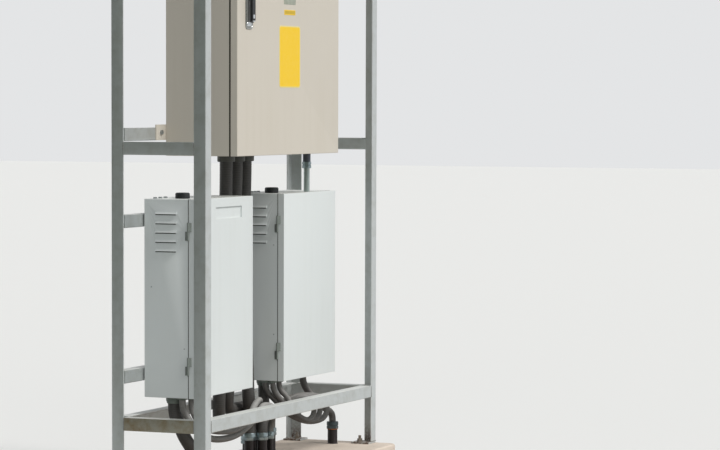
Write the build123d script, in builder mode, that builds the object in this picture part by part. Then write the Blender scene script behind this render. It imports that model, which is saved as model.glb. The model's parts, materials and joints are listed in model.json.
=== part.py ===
from build123d import *
import os
from math import tan, radians, pi

# Outdoor electrical cabinet stand: a welded frame of steel angle on a concrete plinth.
# It carries a wide control cabinet above and two louvred boxes below.
# Millimetres. Origin at the centre of the plinth's underside, +Z up, the doors face -Y.

# Plinth
plinth_height = 150.0
plinth_side_margin = 12.0
plinth_front_margin = 100.0
plinth_rear_margin = 20.0
plinth_corner = 45.0
plinth_edge = 8.0

# Angle frame
frame_width = 1700.0
frame_depth = 400.0
frame_height = 2520.0
leg = 50.0
leg_wall = 5.0
leg_root = 5.0
foot_size = 80.0
foot_wall = 8.0
anchor_inset = 52.0
anchor_radius = 6.0
anchor_depth = 80.0
anchor_reach = 26.0
anchor_clearance = 1.0
nut_flats = 19.0
nut_height = 10.0
washer_radius = 13.0
washer_wall = 2.5
ring_top = 250.0
middle_top = 1313.0
low_rail_rise = 114.0
mid_rail_drop = 59.0
upper_rail_rise = 111.0
cross_setback = 345.0

# Control cabinet
cabinet_width = 1000.0
cabinet_height = 1200.0
cabinet_front = 30.0
cabinet_bottom = 1254.0
cabinet_wall = 2.0
cabinet_lip_inset = 20.0
door_depth = 30.0
seam_gap = 1.0
lip_height = 14.0
gasket_width = 14.0
seat_gap = 0.3
lug_wall = 5.0
lug_reach = 84.0
lug_height = 61.0
lug_overlap = 40.0
lug_rise = 62.0
lug_bolt_radius = 5.0
lug_bolt_flats = 17.0
lug_bolt_head = 7.0
bolt_clearance = 0.5

# Hinges
hinge_pin_radius = 3.0
hinge_knuckle_radius = 6.0
hinge_offset = 8.0
knuckle_height = 25.0
knuckle_gap = 0.5
running_clearance = 0.05
hinge_leaf_depth = 16.0
hinge_inset = 150.0

# Swing handle and its rods
handle_inset = 105.0
handle_plate_width = 66.0
handle_plate_height = 206.0
handle_plate_wall = 4.0
handle_plate_corner = 8.0
spindle_rise = 62.0
spindle_radius = 6.0
boss_radius = 17.0
boss_height = 8.0
pivot_height = 6.0
pivot_pin_radius = 2.5
tongue_width = 10.0
lever_width = 28.0
lever_thickness = 10.0
lever_length = 140.0
case_width = 46.0
case_height = 130.0
case_wall = 3.0
rod_overlap = 24.0
rod_width = 12.0
rod_wall = 3.0
rod_end_gap = 0.5
guide_wall = 2.0
guide_inset = 180.0
guide_height = 20.0

# Door plates
label_wall = 0.8
notice_width = 206.0
notice_height = 248.0
notice_rise = 270.0
tag_width = 109.0
tag_height = 20.0
tag_rise = 562.0
badge_width = 116.0
badge_height = 60.0
badge_rise = 604.0

# Switchgear inside the cabinet
plate_margin = 50.0
plate_wall = 3.0
plate_standoff = 25.0
standoff_radius = 7.0
din_rail_height = 35.0
din_rail_depth = 7.5
din_rail_wall = 1.2
din_rail_length = 760.0
din_rail_rise = 760.0
strip_rail_rise = 200.0
main_width = 140.0
main_height = 250.0
main_depth = 90.0
main_rise = 940.0
main_toggle_width = 22.0
main_toggle_reach = 30.0
branch_width = 27.0
branch_height = 85.0
branch_depth = 60.0
branch_pitch = 120.0
branch_first = -60.0
toggle_width = 10.0
toggle_reach = 16.0
toggle_radius = 8.0
strip_width = 480.0
strip_height = 46.0
strip_depth = 38.0
strip_cells = 16
strip_slot = 4.0

# Louvred boxes
box_width = 536.0
box_height = 773.0
box_inset = 161.0
box_front = 122.0
box_bottom = 317.0
box_door_depth = 28.0
box_wall = 1.6
box_lip_inset = 18.0
box_lip_height = 12.0
box_lug_width = 40.0
box_lug_height = 60.0
box_bolt_radius = 4.0
box_bolt_flats = 13.0
box_bolt_head = 5.5
box_bolt_inset = 60.0
box_hinge_radius = 4.0
box_hinge_pin_radius = 2.0
box_hinge_offset = 5.0
box_knuckle_height = 34.0
box_hinge_inset = 125.0
box_hinge_leaf = 12.0
louvre_count = 5
louvre_pitch = 36.0
louvre_length = 91.0
louvre_inset = 49.0
louvre_drop = 20.0
louvre_reach = 8.0
louvre_sheet = 1.5
cap_radius = 28.5
cap_height = 23.0
cap_inset = 92.0
cap_depth = 98.0
recess_width = 240.0
recess_height = 46.0
recess_depth = 6.0
recess_side = 106.0
recess_top = 36.0
lock_radius = 9.0
lock_head = 3.0
tongue_wall = 3.0
plate_side_margin = 30.0
box_plate_standoff = 18.0
terminal_width = 300.0
terminal_height = 50.0
terminal_depth = 45.0
terminal_cells = 10
terminal_rise = 150.0

# Conduits, glands and stubs
collar_drop = 31.0
collar_gap = 6.0
collar_rim = 9.5
cone_drop = 27.0
cone_rim = 7.0
cone_foot = 3.5
nut_drop = 10.5
nut_rim = 5.0
gland_neck = 8.0
neck_nut_rim = 2.5
coupling_height = 31.0
coupling_foot = 14.0
coupling_grip = 1.5
coupling_wall = 4.0
steel_pipe_radius = 12.5
nipple_radius = 16.5
nipple_drop = 38.0
union_radius = 20.5
union_height = 28.0

# Places that follow from the sizes above
low_cross_top = box_bottom + low_rail_rise
mid_cross_top = box_bottom + box_height - mid_rail_drop
upper_cross_top = cabinet_bottom + upper_rail_rise
plinth_width = frame_width + 2 * plinth_side_margin
plinth_depth = frame_depth + plinth_front_margin + plinth_rear_margin
deck = plinth_height
right_x = frame_width / 2
left_x = -right_x
front_y = -plinth_depth / 2 + plinth_front_margin
rear_y = front_y + frame_depth
cross_y = front_y + cross_setback
cabinet_face_y = front_y + cabinet_front
cabinet_seam_y = cabinet_face_y + door_depth
cabinet_rear_y = cross_y - lug_wall
cabinet_low = deck + cabinet_bottom
cabinet_high = cabinet_low + cabinet_height
lug_centre_low = cabinet_low + lug_rise + lug_height / 2
lug_centre_high = cabinet_high - lug_rise - lug_height / 2
top_cross_top = lug_centre_high - deck + leg / 2
box_face_y = front_y + box_front
box_seam_y = box_face_y + box_door_depth
box_low = deck + box_bottom
box_high = box_low + box_height
left_box_x = left_x + box_inset + box_width / 2
right_box_x = -left_box_x

os.makedirs("parts", exist_ok=True)


def save(piece, name):
    piece.label = name
    export_step(piece, "parts/" + name + ".step")


# Points of an angle section with its outer corner at (u, v), legs running along su and sv
def angle_points(u, v, su, sv):
    return [
        (u, v),
        (u + su * leg, v),
        (u + su * leg, v + sv * leg_wall),
        (u + su * leg_wall, v + sv * leg_wall),
        (u + su * leg_wall, v + sv * leg),
        (u, v + sv * leg),
    ]


# Bar of angle section: profile on the plane, inner root rounded, run along the plane's normal
def angle_bar(plane, corner, signs, length):
    with BuildPart() as bar:
        with BuildSketch(plane):
            with BuildLine():
                Polyline(angle_points(corner[0], corner[1], signs[0], signs[1]), close=True)
            make_face()
            root = (corner[0] + signs[0] * leg_wall, corner[1] + signs[1] * leg_wall)
            inner = vertices().sort_by_distance(plane.from_local_coords((root[0], root[1], 0)))[0]
            fillet(inner, leg_root)
        extrude(amount=length)
    return bar.part


# Concrete plinth with rounded corners and a hole for each anchor
anchor_spots = []
for sx in (-1, 1):
    for sy in (-1, 1):
        edge_y = front_y if sy < 0 else rear_y
        anchor_spots.append((sx * (right_x - anchor_inset), edge_y - sy * anchor_inset))

with BuildPart() as plinth:
    with BuildSketch():
        RectangleRounded(plinth_width, plinth_depth, plinth_corner)
    extrude(amount=plinth_height)
    fillet(plinth.edges().group_by(Axis.Z)[-1], plinth_edge)
    with BuildSketch(Plane.XY.offset(deck - anchor_depth)):
        with Locations(*anchor_spots):
            Circle(anchor_radius + bolt_clearance / 2)
    extrude(amount=anchor_depth, mode=Mode.SUBTRACT)
save(plinth.part, "concrete_plinth")


# Corner post of steel angle with a welded foot plate
def corner_post(sx, sy):
    corner_y = front_y if sy < 0 else rear_y
    with BuildPart() as post:
        with BuildSketch(Plane.XY.offset(deck)):
            with Locations((sx * (right_x - foot_size / 2), corner_y - sy * foot_size / 2)):
                Rectangle(foot_size, foot_size)
            with Locations((sx * (right_x - anchor_inset), corner_y - sy * anchor_inset)):
                Circle(anchor_radius + anchor_clearance, mode=Mode.SUBTRACT)
        extrude(amount=foot_wall)
        with BuildSketch(Plane.XY.offset(deck + foot_wall)):
            with BuildLine():
                Polyline(angle_points(sx * right_x, corner_y, -sx, -sy), close=True)
            make_face()
        extrude(amount=frame_height - foot_wall)
    return post.part


save(corner_post(-1, -1), "post_front_left")
save(corner_post(1, -1), "post_front_right")
save(corner_post(-1, 1), "post_rear_left")
save(corner_post(1, 1), "post_rear_right")

# Anchor bolts: stud in the plinth, washer and nut on the foot plate
anchor_parts = []
for spot in anchor_spots:
    with BuildPart() as anchor:
        with BuildSketch(Plane.XY.offset(deck - anchor_depth)):
            with Locations(spot):
                Circle(anchor_radius)
        extrude(amount=anchor_depth + foot_wall + anchor_reach)
        with BuildSketch(Plane.XY.offset(deck + foot_wall)):
            with Locations(spot):
                Circle(washer_radius)
        extrude(amount=washer_wall)
        with BuildSketch(Plane.XY.offset(deck + foot_wall + washer_wall)):
            with Locations(spot):
                RegularPolygon(nut_flats / 2, 6, major_radius=False)
        extrude(amount=nut_height)
    anchor_parts.append(anchor.part)
save(Compound(children=anchor_parts), "anchor_bolts")

# Span of the long rails
long_span = frame_width - 2 * leg
long_plane = Plane.YZ.offset(-long_span / 2)


# Pair of long rails at one height, between the front legs and between the rear legs
def long_pair(top):
    near = angle_bar(long_plane, (front_y, deck + top), (1, -1), long_span)
    far = angle_bar(long_plane, (rear_y, deck + top), (-1, -1), long_span)
    return Compound(children=[near, far])


save(long_pair(ring_top), "bottom_rails")
save(long_pair(frame_height), "top_rails")


# Pair of side rails at one height, between the side legs of the posts
def side_pair(top):
    plane = Plane.XZ.offset(-(rear_y - leg))
    run = frame_depth - 2 * leg
    near = angle_bar(plane, (left_x, deck + top), (1, -1), run)
    far = angle_bar(plane, (right_x, deck + top), (-1, -1), run)
    return Compound(children=[near, far])


save(side_pair(ring_top), "bottom_side_rails")
save(side_pair(middle_top), "middle_side_rails")
save(side_pair(frame_height), "top_side_rails")

# Cross rails behind the enclosures, drilled for the bolts of the lugs they carry
cross_span = frame_width - 2 * leg_wall
cross_plane = Plane.YZ.offset(-cross_span / 2)
cabinet_bolt_xs = [side * (cabinet_width / 2 + lug_reach / 2) for side in (-1, 1)]
box_bolt_xs = [
    centre + side * (box_width / 2 - box_bolt_inset)
    for centre in (left_box_x, right_box_x) for side in (-1, 1)
]


def cross_rail(top, hole_z, hole_xs, radius):
    section = angle_bar(cross_plane, (cross_y, deck + top), (1, -1), cross_span)
    with BuildPart() as rail:
        add(section)
        with BuildSketch(Plane.XZ.offset(-(cross_y + leg_wall))):
            with Locations(*[(hole_x, hole_z) for hole_x in hole_xs]):
                Circle(radius + bolt_clearance)
        extrude(amount=leg_wall, mode=Mode.SUBTRACT)
    return rail.part


save(Compound(children=[
    cross_rail(low_cross_top, deck + low_cross_top - leg / 2, box_bolt_xs, box_bolt_radius),
    cross_rail(mid_cross_top, deck + mid_cross_top - leg / 2, box_bolt_xs, box_bolt_radius),
    cross_rail(upper_cross_top, lug_centre_low, cabinet_bolt_xs, lug_bolt_radius),
    cross_rail(top_cross_top, lug_centre_high, cabinet_bolt_xs, lug_bolt_radius),
]), "cross_rails")

# Conduit routes: tube radius, stub pipe radius and the points from the top end to the bottom end.
# The straight runs are joined by tangent arcs, and the first and last runs stand upright.
routes = {
    "conduit_cabinet_left": (26.5, 21.0, [
        (-81, 115, 1377), (-81, 115, 1290), (-88, 117, 1050), (-104, 123, 760), (-117, 127, 500),
        (-121, 127, 420), (-112, 133, 360), (-70, 150, 312), (0, 168, 291), (90, 176, 286),
        (165, 176, 286), (222, 174, 278), (251, 172, 258), (251, 172, 222)]),
    "conduit_cabinet_middle": (26.5, 21.0, [
        (16, 115, 1377), (16, 115, 1290), (0, 120, 1050), (-16, 126, 760), (-27, 130, 500),
        (-29, 131, 425), (-8, 146, 378), (50, 162, 352), (120, 163, 349), (200, 162, 349),
        (258, 157, 345), (298, 150, 318), (308, 148, 284), (308, 148, 248)]),
    "conduit_cabinet_right": (26.5, 21.0, [
        (104, 115, 1377), (104, 115, 1290), (88, 118, 1050), (88, 110, 760), (97, 100, 500),
        (98, 99, 425), (112, 99, 362), (142, 112, 305), (151, 117, 284), (151, 117, 248)]),
    "conduit_left_box": (26.0, 21.0, [
        (-615, 87, 440), (-615, 87, 400), (-608, 76, 374), (-590, 60, 310), (-551, 46, 261),
        (-520, 42, 225), (-520, 42, 190)]),
    "conduit_left_box_thin_back": (13.5, 12.5, [
        (-640, 40, 467), (-640, 40, 425), (-620, 30, 388), (-609, 5, 345), (-576, -18, 312),
        (-527, -38, 294), (-434, -46, 287), (-331, -46, 291), (-219, -38, 308), (-109, -23, 333),
        (0, 0, 361), (73, 20, 374), (175, 24, 362), (214, 34, 322), (244, 64, 276), (244, 64, 248)]),
    "conduit_left_box_thin_front": (13.5, 12.5, [
        (-611, 15, 467), (-611, 15, 425), (-606, -2, 381), (-575, -22, 347), (-540, -44, 329),
        (-468, -62, 321), (-383, -66, 319), (-277, -56, 328), (-141, -22, 354), (-24, 14, 381),
        (70, 42, 392), (132, 58, 388), (168, 86, 358), (194, 118, 314), (204, 125, 276),
        (204, 125, 248)]),
    "conduit_right_box_wide": (23.0, 21.0, [
        (235, 91, 440), (235, 91, 390), (224, 80, 340), (196, 74, 296), (187, 76, 279), (187, 76, 248)]),
    "conduit_right_box_coil_back": (12.0, 12.5, [
        (178, 58, 467), (178, 58, 425), (223, 31, 379), (268, 8, 332), (325, -12, 299),
        (433, -24, 272), (540, -34, 270), (592, -37, 286), (614, -34, 318), (604, -27, 350),
        (566, -14, 370), (492, 2, 381), (420, 22, 384), (366, 50, 370), (352, 82, 338),
        (360, 104, 303), (373, 112, 276), (373, 112, 248)]),
    "conduit_right_box_coil_middle": (12.0, 12.5, [
        (176, 22, 467), (176, 22, 425), (219, 2, 381), (257, -24, 335), (318, -38, 300),
        (400, -48, 278), (448, -55, 284), (482, -58, 306), (490, -54, 338), (472, -46, 364),
        (430, -34, 380), (376, -10, 388), (326, 25, 374), (308, 60, 340), (300, 88, 302),
        (293, 101, 276), (293, 101, 248)]),
    "conduit_right_box_coil_front": (12.0, 12.5, [
        (219, 14, 467), (219, 14, 428), (232, -24, 390), (218, -46, 347), (254, -62, 314),
        (303, -74, 293), (338, -81, 298), (362, -84, 320), (364, -80, 350), (350, -70, 376),
        (324, -50, 390), (304, -20, 382), (292, 14, 354), (278, 50, 322), (264, 86, 294),
        (250, 113, 276), (250, 113, 248)]),
    "conduit_right_box_feed": (15.0, 21.0, [
        (523, 40, 467), (523, 40, 428), (566, 31, 383), (622, 19, 340), (676, 8, 310), (716, 0, 293),
        (742, -4, 273), (742, -4, 245)]),
}


# Corner radii: each arc takes 0.45 of its shorter run
def corner_radii(points):
    radii = []
    for i in range(1, len(points) - 1):
        before = Vector(*points[i]) - Vector(*points[i - 1])
        after = Vector(*points[i + 1]) - Vector(*points[i])
        turn = radians(before.get_angle(after))
        radii.append(0.45 * min(before.length, after.length) / tan(turn / 2))
    return radii


# Plain tube along a route
def conduit(radius, points):
    radii = corner_radii(points)
    with BuildPart() as tube:
        with BuildLine() as route:
            FilletPolyline(*points, radius=radii)
        with BuildSketch(Plane(origin=points[0], z_dir=Vector(*points[1]) - Vector(*points[0]))):
            Circle(radius)
        sweep()
    return tube.part, sum(edge.length for edge in route.edges()), radii


# The ends are set on the undersides of the enclosures and on the couplings
cabinet_gland_low = cabinet_low - collar_drop
box_gland_low = box_low - cone_drop
box_nut_low = box_low - nut_drop
wide_conduits = ("conduit_left_box", "conduit_right_box_wide")

tube_ends = {}
for route_name, (tube_radius, pipe_radius, route_points) in routes.items():
    first = route_points[0]
    if route_name.startswith("conduit_cabinet"):
        start_z = cabinet_gland_low
    elif route_name in wide_conduits:
        start_z = box_gland_low
    else:
        start_z = box_nut_low
    last = route_points[-1]
    route_points[0] = (first[0], first[1], start_z)
    route_points[1] = (first[0], first[1], route_points[1][2])
    route_points[-2] = (last[0], last[1], route_points[-2][2])
    tube_ends[route_name] = (tube_radius, pipe_radius, route_points[0], last)
    tube, tube_length, tube_radii = conduit(tube_radius, route_points)
    save(tube, route_name)
    share = tube.volume / (pi * tube_radius**2 * tube_length)
    print(route_name, "radii", [round(r) for r in tube_radii], "length", round(tube_length), "share", round(share, 4))


# Gland under a sheet: collar or cone below, neck through the hole and nut above
def gland(spot, tube_radius, top, wall, drop, foot_rim, rim, gap):
    with BuildPart() as body:
        with BuildSketch(Plane.XY.offset(top - drop)):
            with Locations(spot):
                Circle(tube_radius + foot_rim)
        if foot_rim < rim:
            with BuildSketch(Plane.XY.offset(top)):
                with Locations(spot):
                    Circle(tube_radius + rim)
            loft()
        else:
            extrude(amount=drop - gap)
        with BuildSketch(Plane.XY.offset(top - gap)):
            with Locations(spot):
                Circle(tube_radius)
        extrude(amount=gap + wall + gland_neck)
        with BuildSketch(Plane.XY.offset(top + wall)):
            with Locations(spot):
                RegularPolygon(tube_radius + neck_nut_rim, 6, major_radius=False)
        extrude(amount=gland_neck)
    return body.part


cabinet_glands = []
box_glands = []
cabinet_holes = []
left_box_holes = []
right_box_holes = []
for route_name, (tube_radius, pipe_radius, start, last) in tube_ends.items():
    spot = (start[0], start[1])
    if route_name.startswith("conduit_cabinet"):
        collar = gland(spot, tube_radius, cabinet_low, cabinet_wall, collar_drop, collar_rim, collar_rim, collar_gap)
        cabinet_glands.append(collar)
        cabinet_holes.append((spot, tube_radius))
    else:
        if route_name in wide_conduits:
            cone = gland(spot, tube_radius, box_low, box_wall, cone_drop, cone_foot, cone_rim, 0)
            box_glands.append(cone)
        else:
            nut = gland(spot, tube_radius, box_low, box_wall, nut_drop, nut_rim, nut_rim, 0)
            box_glands.append(nut)
        if spot[0] < 0:
            left_box_holes.append((spot, tube_radius))
        else:
            right_box_holes.append((spot, tube_radius))
save(Compound(children=cabinet_glands), "cabinet_glands")
save(Compound(children=box_glands), "box_glands")

# Stub pipes cast into the plinth and their couplings, hexagonal at the foot and round above
stub_parts = []
coupling_parts = []
for route_name, (tube_radius, pipe_radius, start, last) in tube_ends.items():
    coupling_low = last[2] - coupling_height
    coupling_radius = max(tube_radius + coupling_grip, pipe_radius + coupling_wall)
    with BuildPart() as stub:
        with BuildSketch(Plane.XY.offset(deck)):
            with Locations((last[0], last[1])):
                Circle(pipe_radius)
        extrude(amount=coupling_low - deck)
    stub_parts.append(stub.part)
    with BuildPart() as coupling:
        with BuildSketch(Plane.XY.offset(coupling_low)):
            with Locations((last[0], last[1])):
                RegularPolygon(coupling_radius, 6, major_radius=True)
        extrude(amount=coupling_foot)
        with BuildSketch(Plane.XY.offset(coupling_low + coupling_foot)):
            with Locations((last[0], last[1])):
                Circle(coupling_radius)
        extrude(amount=coupling_height - coupling_foot)
    coupling_parts.append(coupling.part)
save(Compound(children=stub_parts), "stub_pipes")
save(Compound(children=coupling_parts), "stub_couplings")

# Rigid steel conduit between the cabinet and the right box
steel_x = 480.0
steel_y = 5.0
steel_spot = (steel_x, steel_y)
with BuildPart() as steel_conduit:
    with BuildSketch(Plane.XY.offset(box_high - box_wall - gland_neck)):
        with Locations(steel_spot):
            Circle(steel_pipe_radius)
    extrude(amount=cabinet_low - nipple_drop - box_high + box_wall + gland_neck)
save(steel_conduit.part, "steel_conduit")
with BuildPart() as steel_union:
    with BuildSketch(Plane.XY.offset(cabinet_low - nipple_drop)):
        with Locations(steel_spot):
            Circle(nipple_radius)
    extrude(amount=nipple_drop)
    with BuildSketch(Plane.XY.offset(cabinet_low)):
        with Locations(steel_spot):
            Circle(steel_pipe_radius)
    extrude(amount=cabinet_wall + gland_neck)
    with BuildSketch(Plane.XY.offset(cabinet_low - nipple_drop - union_height)):
        with Locations(steel_spot):
            RegularPolygon(union_radius, 6, major_radius=True)
    extrude(amount=union_height)
    with BuildSketch(Plane.XY.offset(cabinet_low - nipple_drop - union_height)):
        with Locations(steel_spot):
            Circle(steel_pipe_radius + running_clearance)
    extrude(amount=union_height, mode=Mode.SUBTRACT)
save(steel_union.part, "steel_conduit_union")
cabinet_holes.append((steel_spot, steel_pipe_radius))


# Folded sheet body: open front with a return flange and a forward lip around the opening
def shell_body(centre_x, width, height, low, seam, back, wall, lip_inset, lip_reach, holes):
    middle = low + height / 2
    depth = back - seam
    with BuildPart() as shell:
        with BuildSketch(Plane.XZ.offset(-back)):
            with Locations((centre_x, middle)):
                Rectangle(width, height)
        extrude(amount=depth)
        with BuildSketch(Plane.XZ.offset(-(back - wall))):
            with Locations((centre_x, middle)):
                Rectangle(width - 2 * wall, height - 2 * wall)
        extrude(amount=depth - 2 * wall, mode=Mode.SUBTRACT)
        with BuildSketch(Plane.XZ.offset(-seam)):
            with Locations((centre_x, middle)):
                Rectangle(width - 2 * lip_inset + 2 * wall, height - 2 * lip_inset + 2 * wall)
        extrude(amount=lip_reach)
        with BuildSketch(Plane.XZ.offset(-(seam + wall))):
            with Locations((centre_x, middle)):
                Rectangle(width - 2 * lip_inset, height - 2 * lip_inset)
        extrude(amount=lip_reach + wall, mode=Mode.SUBTRACT)
        for spot, radius in holes:
            with BuildSketch(Plane.XY.offset(low)):
                with Locations(spot):
                    Circle(radius + bolt_clearance / 2)
            extrude(amount=wall, mode=Mode.SUBTRACT)
    return shell.part


# Door tray: front sheet with a return all round, standing a seam gap off the body
def door_tray(centre_x, width, height, low, seam, depth, wall):
    middle = low + height / 2
    rim = seam - seam_gap
    with BuildPart() as door:
        with BuildSketch(Plane.XZ.offset(-rim)):
            with Locations((centre_x, middle)):
                Rectangle(width, height)
        extrude(amount=depth - seam_gap)
        with BuildSketch(Plane.XZ.offset(-rim)):
            with Locations((centre_x, middle)):
                Rectangle(width - 2 * wall, height - 2 * wall)
        extrude(amount=depth - seam_gap - wall, mode=Mode.SUBTRACT)
    return door.part


# Cabinet body with standoffs for the mounting plate and the fixed halves of its hinges
hinge_axis_x = cabinet_width / 2 + hinge_offset
hinge_axis_y = cabinet_seam_y
hinge_heights = (
    cabinet_low + hinge_inset,
    cabinet_low + cabinet_height / 2,
    cabinet_high - hinge_inset,
)
plate_width = cabinet_width - 2 * plate_margin
plate_height = cabinet_height - 2 * plate_margin
plate_back_y = cabinet_rear_y - cabinet_wall - plate_standoff
plate_face_y = plate_back_y - plate_wall
cabinet_middle = cabinet_low + cabinet_height / 2
cabinet_sheet = shell_body(0, cabinet_width, cabinet_height, cabinet_low, cabinet_seam_y,
                           cabinet_rear_y, cabinet_wall, cabinet_lip_inset, lip_height, cabinet_holes)
with BuildPart() as cabinet_shell:
    add(cabinet_sheet)
    with BuildSketch(Plane.XZ.offset(-(cabinet_rear_y - cabinet_wall))):
        with Locations((0, cabinet_middle)):
            with GridLocations(plate_width - 4 * standoff_radius, plate_height - 4 * standoff_radius, 2, 2):
                Circle(standoff_radius)
    extrude(amount=plate_standoff)
save(cabinet_shell.part, "cabinet_shell")

# Fixed hinge halves: leaf on the side wall, lower knuckle and pin
hinge_parts = []
for height in hinge_heights:
    with BuildPart() as hinge:
        with BuildSketch(Plane.XY.offset(height - knuckle_height)):
            with Locations((hinge_axis_x, hinge_axis_y)):
                Circle(hinge_knuckle_radius)
            with Locations((cabinet_width / 2 + hinge_offset / 2, hinge_axis_y + hinge_leaf_depth / 2)):
                Rectangle(hinge_offset, hinge_leaf_depth)
        extrude(amount=knuckle_height)
        with BuildSketch(Plane.XY.offset(height)):
            with Locations((hinge_axis_x, hinge_axis_y)):
                Circle(hinge_pin_radius)
        extrude(amount=knuckle_height)
    hinge_parts.append(hinge.part)
save(Compound(children=hinge_parts), "cabinet_hinges")

# Cabinet door with upper knuckles, rod guides and the spindle hole
handle_x = -cabinet_width / 2 + handle_inset
spindle_z = cabinet_middle + spindle_rise
inner_face_y = cabinet_face_y + cabinet_wall
rod_front_y = cabinet_seam_y - lip_height + seam_gap
guide_zs = (cabinet_low + guide_inset, cabinet_high - guide_inset)
door_sheet = door_tray(0, cabinet_width, cabinet_height, cabinet_low, cabinet_seam_y, door_depth, cabinet_wall)
leaf_front = cabinet_seam_y - seam_gap
with BuildPart() as cabinet_door:
    add(door_sheet)
    for height in hinge_heights:
        with BuildSketch(Plane.XY.offset(height + knuckle_gap)):
            with Locations((hinge_axis_x, hinge_axis_y)):
                Circle(hinge_knuckle_radius)
            with Locations((cabinet_width / 2 + hinge_offset / 2, leaf_front - hinge_leaf_depth / 2)):
                Rectangle(hinge_offset, hinge_leaf_depth)
            with Locations((hinge_axis_x, hinge_axis_y)):
                Circle(hinge_pin_radius + running_clearance, mode=Mode.SUBTRACT)
        extrude(amount=knuckle_height)
    with BuildSketch(Plane.XZ.offset(-inner_face_y)):
        with Locations((handle_x, spindle_z)):
            Circle(spindle_radius + running_clearance)
    extrude(amount=cabinet_wall, mode=Mode.SUBTRACT)
    for guide_z in guide_zs:
        guide_depth = rod_front_y + rod_wall + guide_wall + seat_gap - inner_face_y
        with BuildSketch(Plane.XZ.offset(-(inner_face_y + guide_depth))):
            with Locations((handle_x, guide_z)):
                Rectangle(rod_width + 2 * guide_wall + 2 * seat_gap, guide_height)
        extrude(amount=guide_depth)
        with BuildSketch(Plane.XY.offset(guide_z - guide_height / 2)):
            with Locations((handle_x, rod_front_y + rod_wall / 2)):
                Rectangle(rod_width + 2 * seat_gap, rod_wall + 2 * seat_gap)
        extrude(amount=guide_height, mode=Mode.SUBTRACT)
save(cabinet_door.part, "cabinet_door")

# Door gasket that presses on the lip
lip_tip_y = cabinet_seam_y - lip_height
gasket_mid = cabinet_lip_inset - cabinet_wall / 2
with BuildPart() as cabinet_gasket:
    with BuildSketch(Plane.XZ.offset(-(lip_tip_y - seat_gap))):
        with Locations((0, cabinet_middle)):
            Rectangle(cabinet_width - 2 * gasket_mid + gasket_width, cabinet_height - 2 * gasket_mid + gasket_width)
            Rectangle(cabinet_width - 2 * gasket_mid - gasket_width, cabinet_height - 2 * gasket_mid - gasket_width,
                      mode=Mode.SUBTRACT)
    extrude(amount=lip_tip_y - seat_gap - inner_face_y)
save(cabinet_gasket.part, "cabinet_gasket")

# Handle plate on the door
with BuildPart() as handle_plate:
    with BuildSketch(Plane.XZ.offset(-cabinet_face_y)):
        with Locations((handle_x, cabinet_middle)):
            RectangleRounded(handle_plate_width, handle_plate_height, handle_plate_corner)
        with Locations((handle_x, spindle_z)):
            Circle(spindle_radius + running_clearance, mode=Mode.SUBTRACT)
    extrude(amount=handle_plate_wall)
save(handle_plate.part, "handle_plate")

# Spindle: boss and tongue in front, shaft through the door and the lock case
boss_back_y = cabinet_face_y - handle_plate_wall - seat_gap
boss_front_y = boss_back_y - boss_height
pivot_y = boss_front_y - pivot_height
shaft_back_y = rod_front_y + rod_wall + case_wall
with BuildPart() as handle_spindle:
    with BuildSketch(Plane.XZ.offset(-boss_back_y)):
        with Locations((handle_x, spindle_z)):
            Circle(boss_radius)
    extrude(amount=boss_height)
    with BuildSketch(Plane.YZ.offset(handle_x - tongue_width / 2)):
        with Locations((pivot_y, spindle_z)):
            Circle(lever_thickness / 2)
        with Locations(((pivot_y + boss_front_y) / 2, spindle_z)):
            Rectangle(boss_front_y - pivot_y, lever_thickness)
    extrude(amount=tongue_width)
    with BuildSketch(Plane.XZ.offset(-shaft_back_y)):
        with Locations((handle_x, spindle_z)):
            Circle(spindle_radius)
    extrude(amount=shaft_back_y - boss_back_y)
    with BuildSketch(Plane.YZ.offset(handle_x - lever_width / 2)):
        with Locations((pivot_y, spindle_z)):
            Circle(pivot_pin_radius)
    extrude(amount=lever_width)
save(handle_spindle.part, "handle_spindle")

# Swing lever: rounded bar with a forked top around the spindle's tongue
lever_low = spindle_z - lever_length
with BuildPart() as handle_lever:
    with BuildSketch(Plane.YZ.offset(handle_x - lever_width / 2)):
        with BuildLine():
            lever_back = pivot_y + lever_thickness / 2
            lever_front = pivot_y - lever_thickness / 2
            Line((lever_back, spindle_z), (lever_back, lever_low))
            Line((lever_back, lever_low), (lever_front, lever_low + lever_thickness))
            Line((lever_front, lever_low + lever_thickness), (lever_front, spindle_z))
            ThreePointArc((lever_front, spindle_z), (pivot_y, spindle_z + lever_thickness / 2), (lever_back, spindle_z))
        make_face()
    extrude(amount=lever_width)
    with BuildSketch(Plane.YZ.offset(handle_x - tongue_width / 2 - seat_gap)):
        with Locations((pivot_y, spindle_z)):
            Rectangle(4 * lever_thickness, 2 * (lever_thickness / 2 + seat_gap) + lever_thickness)
    extrude(amount=tongue_width + 2 * seat_gap, mode=Mode.SUBTRACT)
    with BuildSketch(Plane.YZ.offset(handle_x - lever_width)):
        with Locations((pivot_y, spindle_z)):
            Circle(pivot_pin_radius + running_clearance)
    extrude(amount=2 * lever_width, mode=Mode.SUBTRACT)
save(handle_lever.part, "handle_lever")

# Lock case behind the door: the spindle passes through it and the rods slide in its ends
case_back_y = rod_front_y + rod_wall + case_wall
case_front_y = rod_front_y - case_wall
channel_floor = spindle_radius + case_wall + case_wall
with BuildPart() as lock_case:
    with BuildSketch(Plane.XZ.offset(-case_back_y)):
        with Locations((handle_x, spindle_z)):
            Rectangle(case_width, case_height)
            Circle(spindle_radius + running_clearance, mode=Mode.SUBTRACT)
    extrude(amount=case_back_y - inner_face_y)
    for side in (-1, 1):
        channel = case_height / 2 - channel_floor
        with BuildSketch(Plane.XZ.offset(-(rod_front_y + rod_wall + seat_gap))):
            with Locations((handle_x, spindle_z + side * (channel_floor + channel / 2))):
                Rectangle(rod_width + 2 * seat_gap, channel)
        extrude(amount=rod_wall + 2 * seat_gap, mode=Mode.SUBTRACT)
save(lock_case.part, "lock_case")

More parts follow.
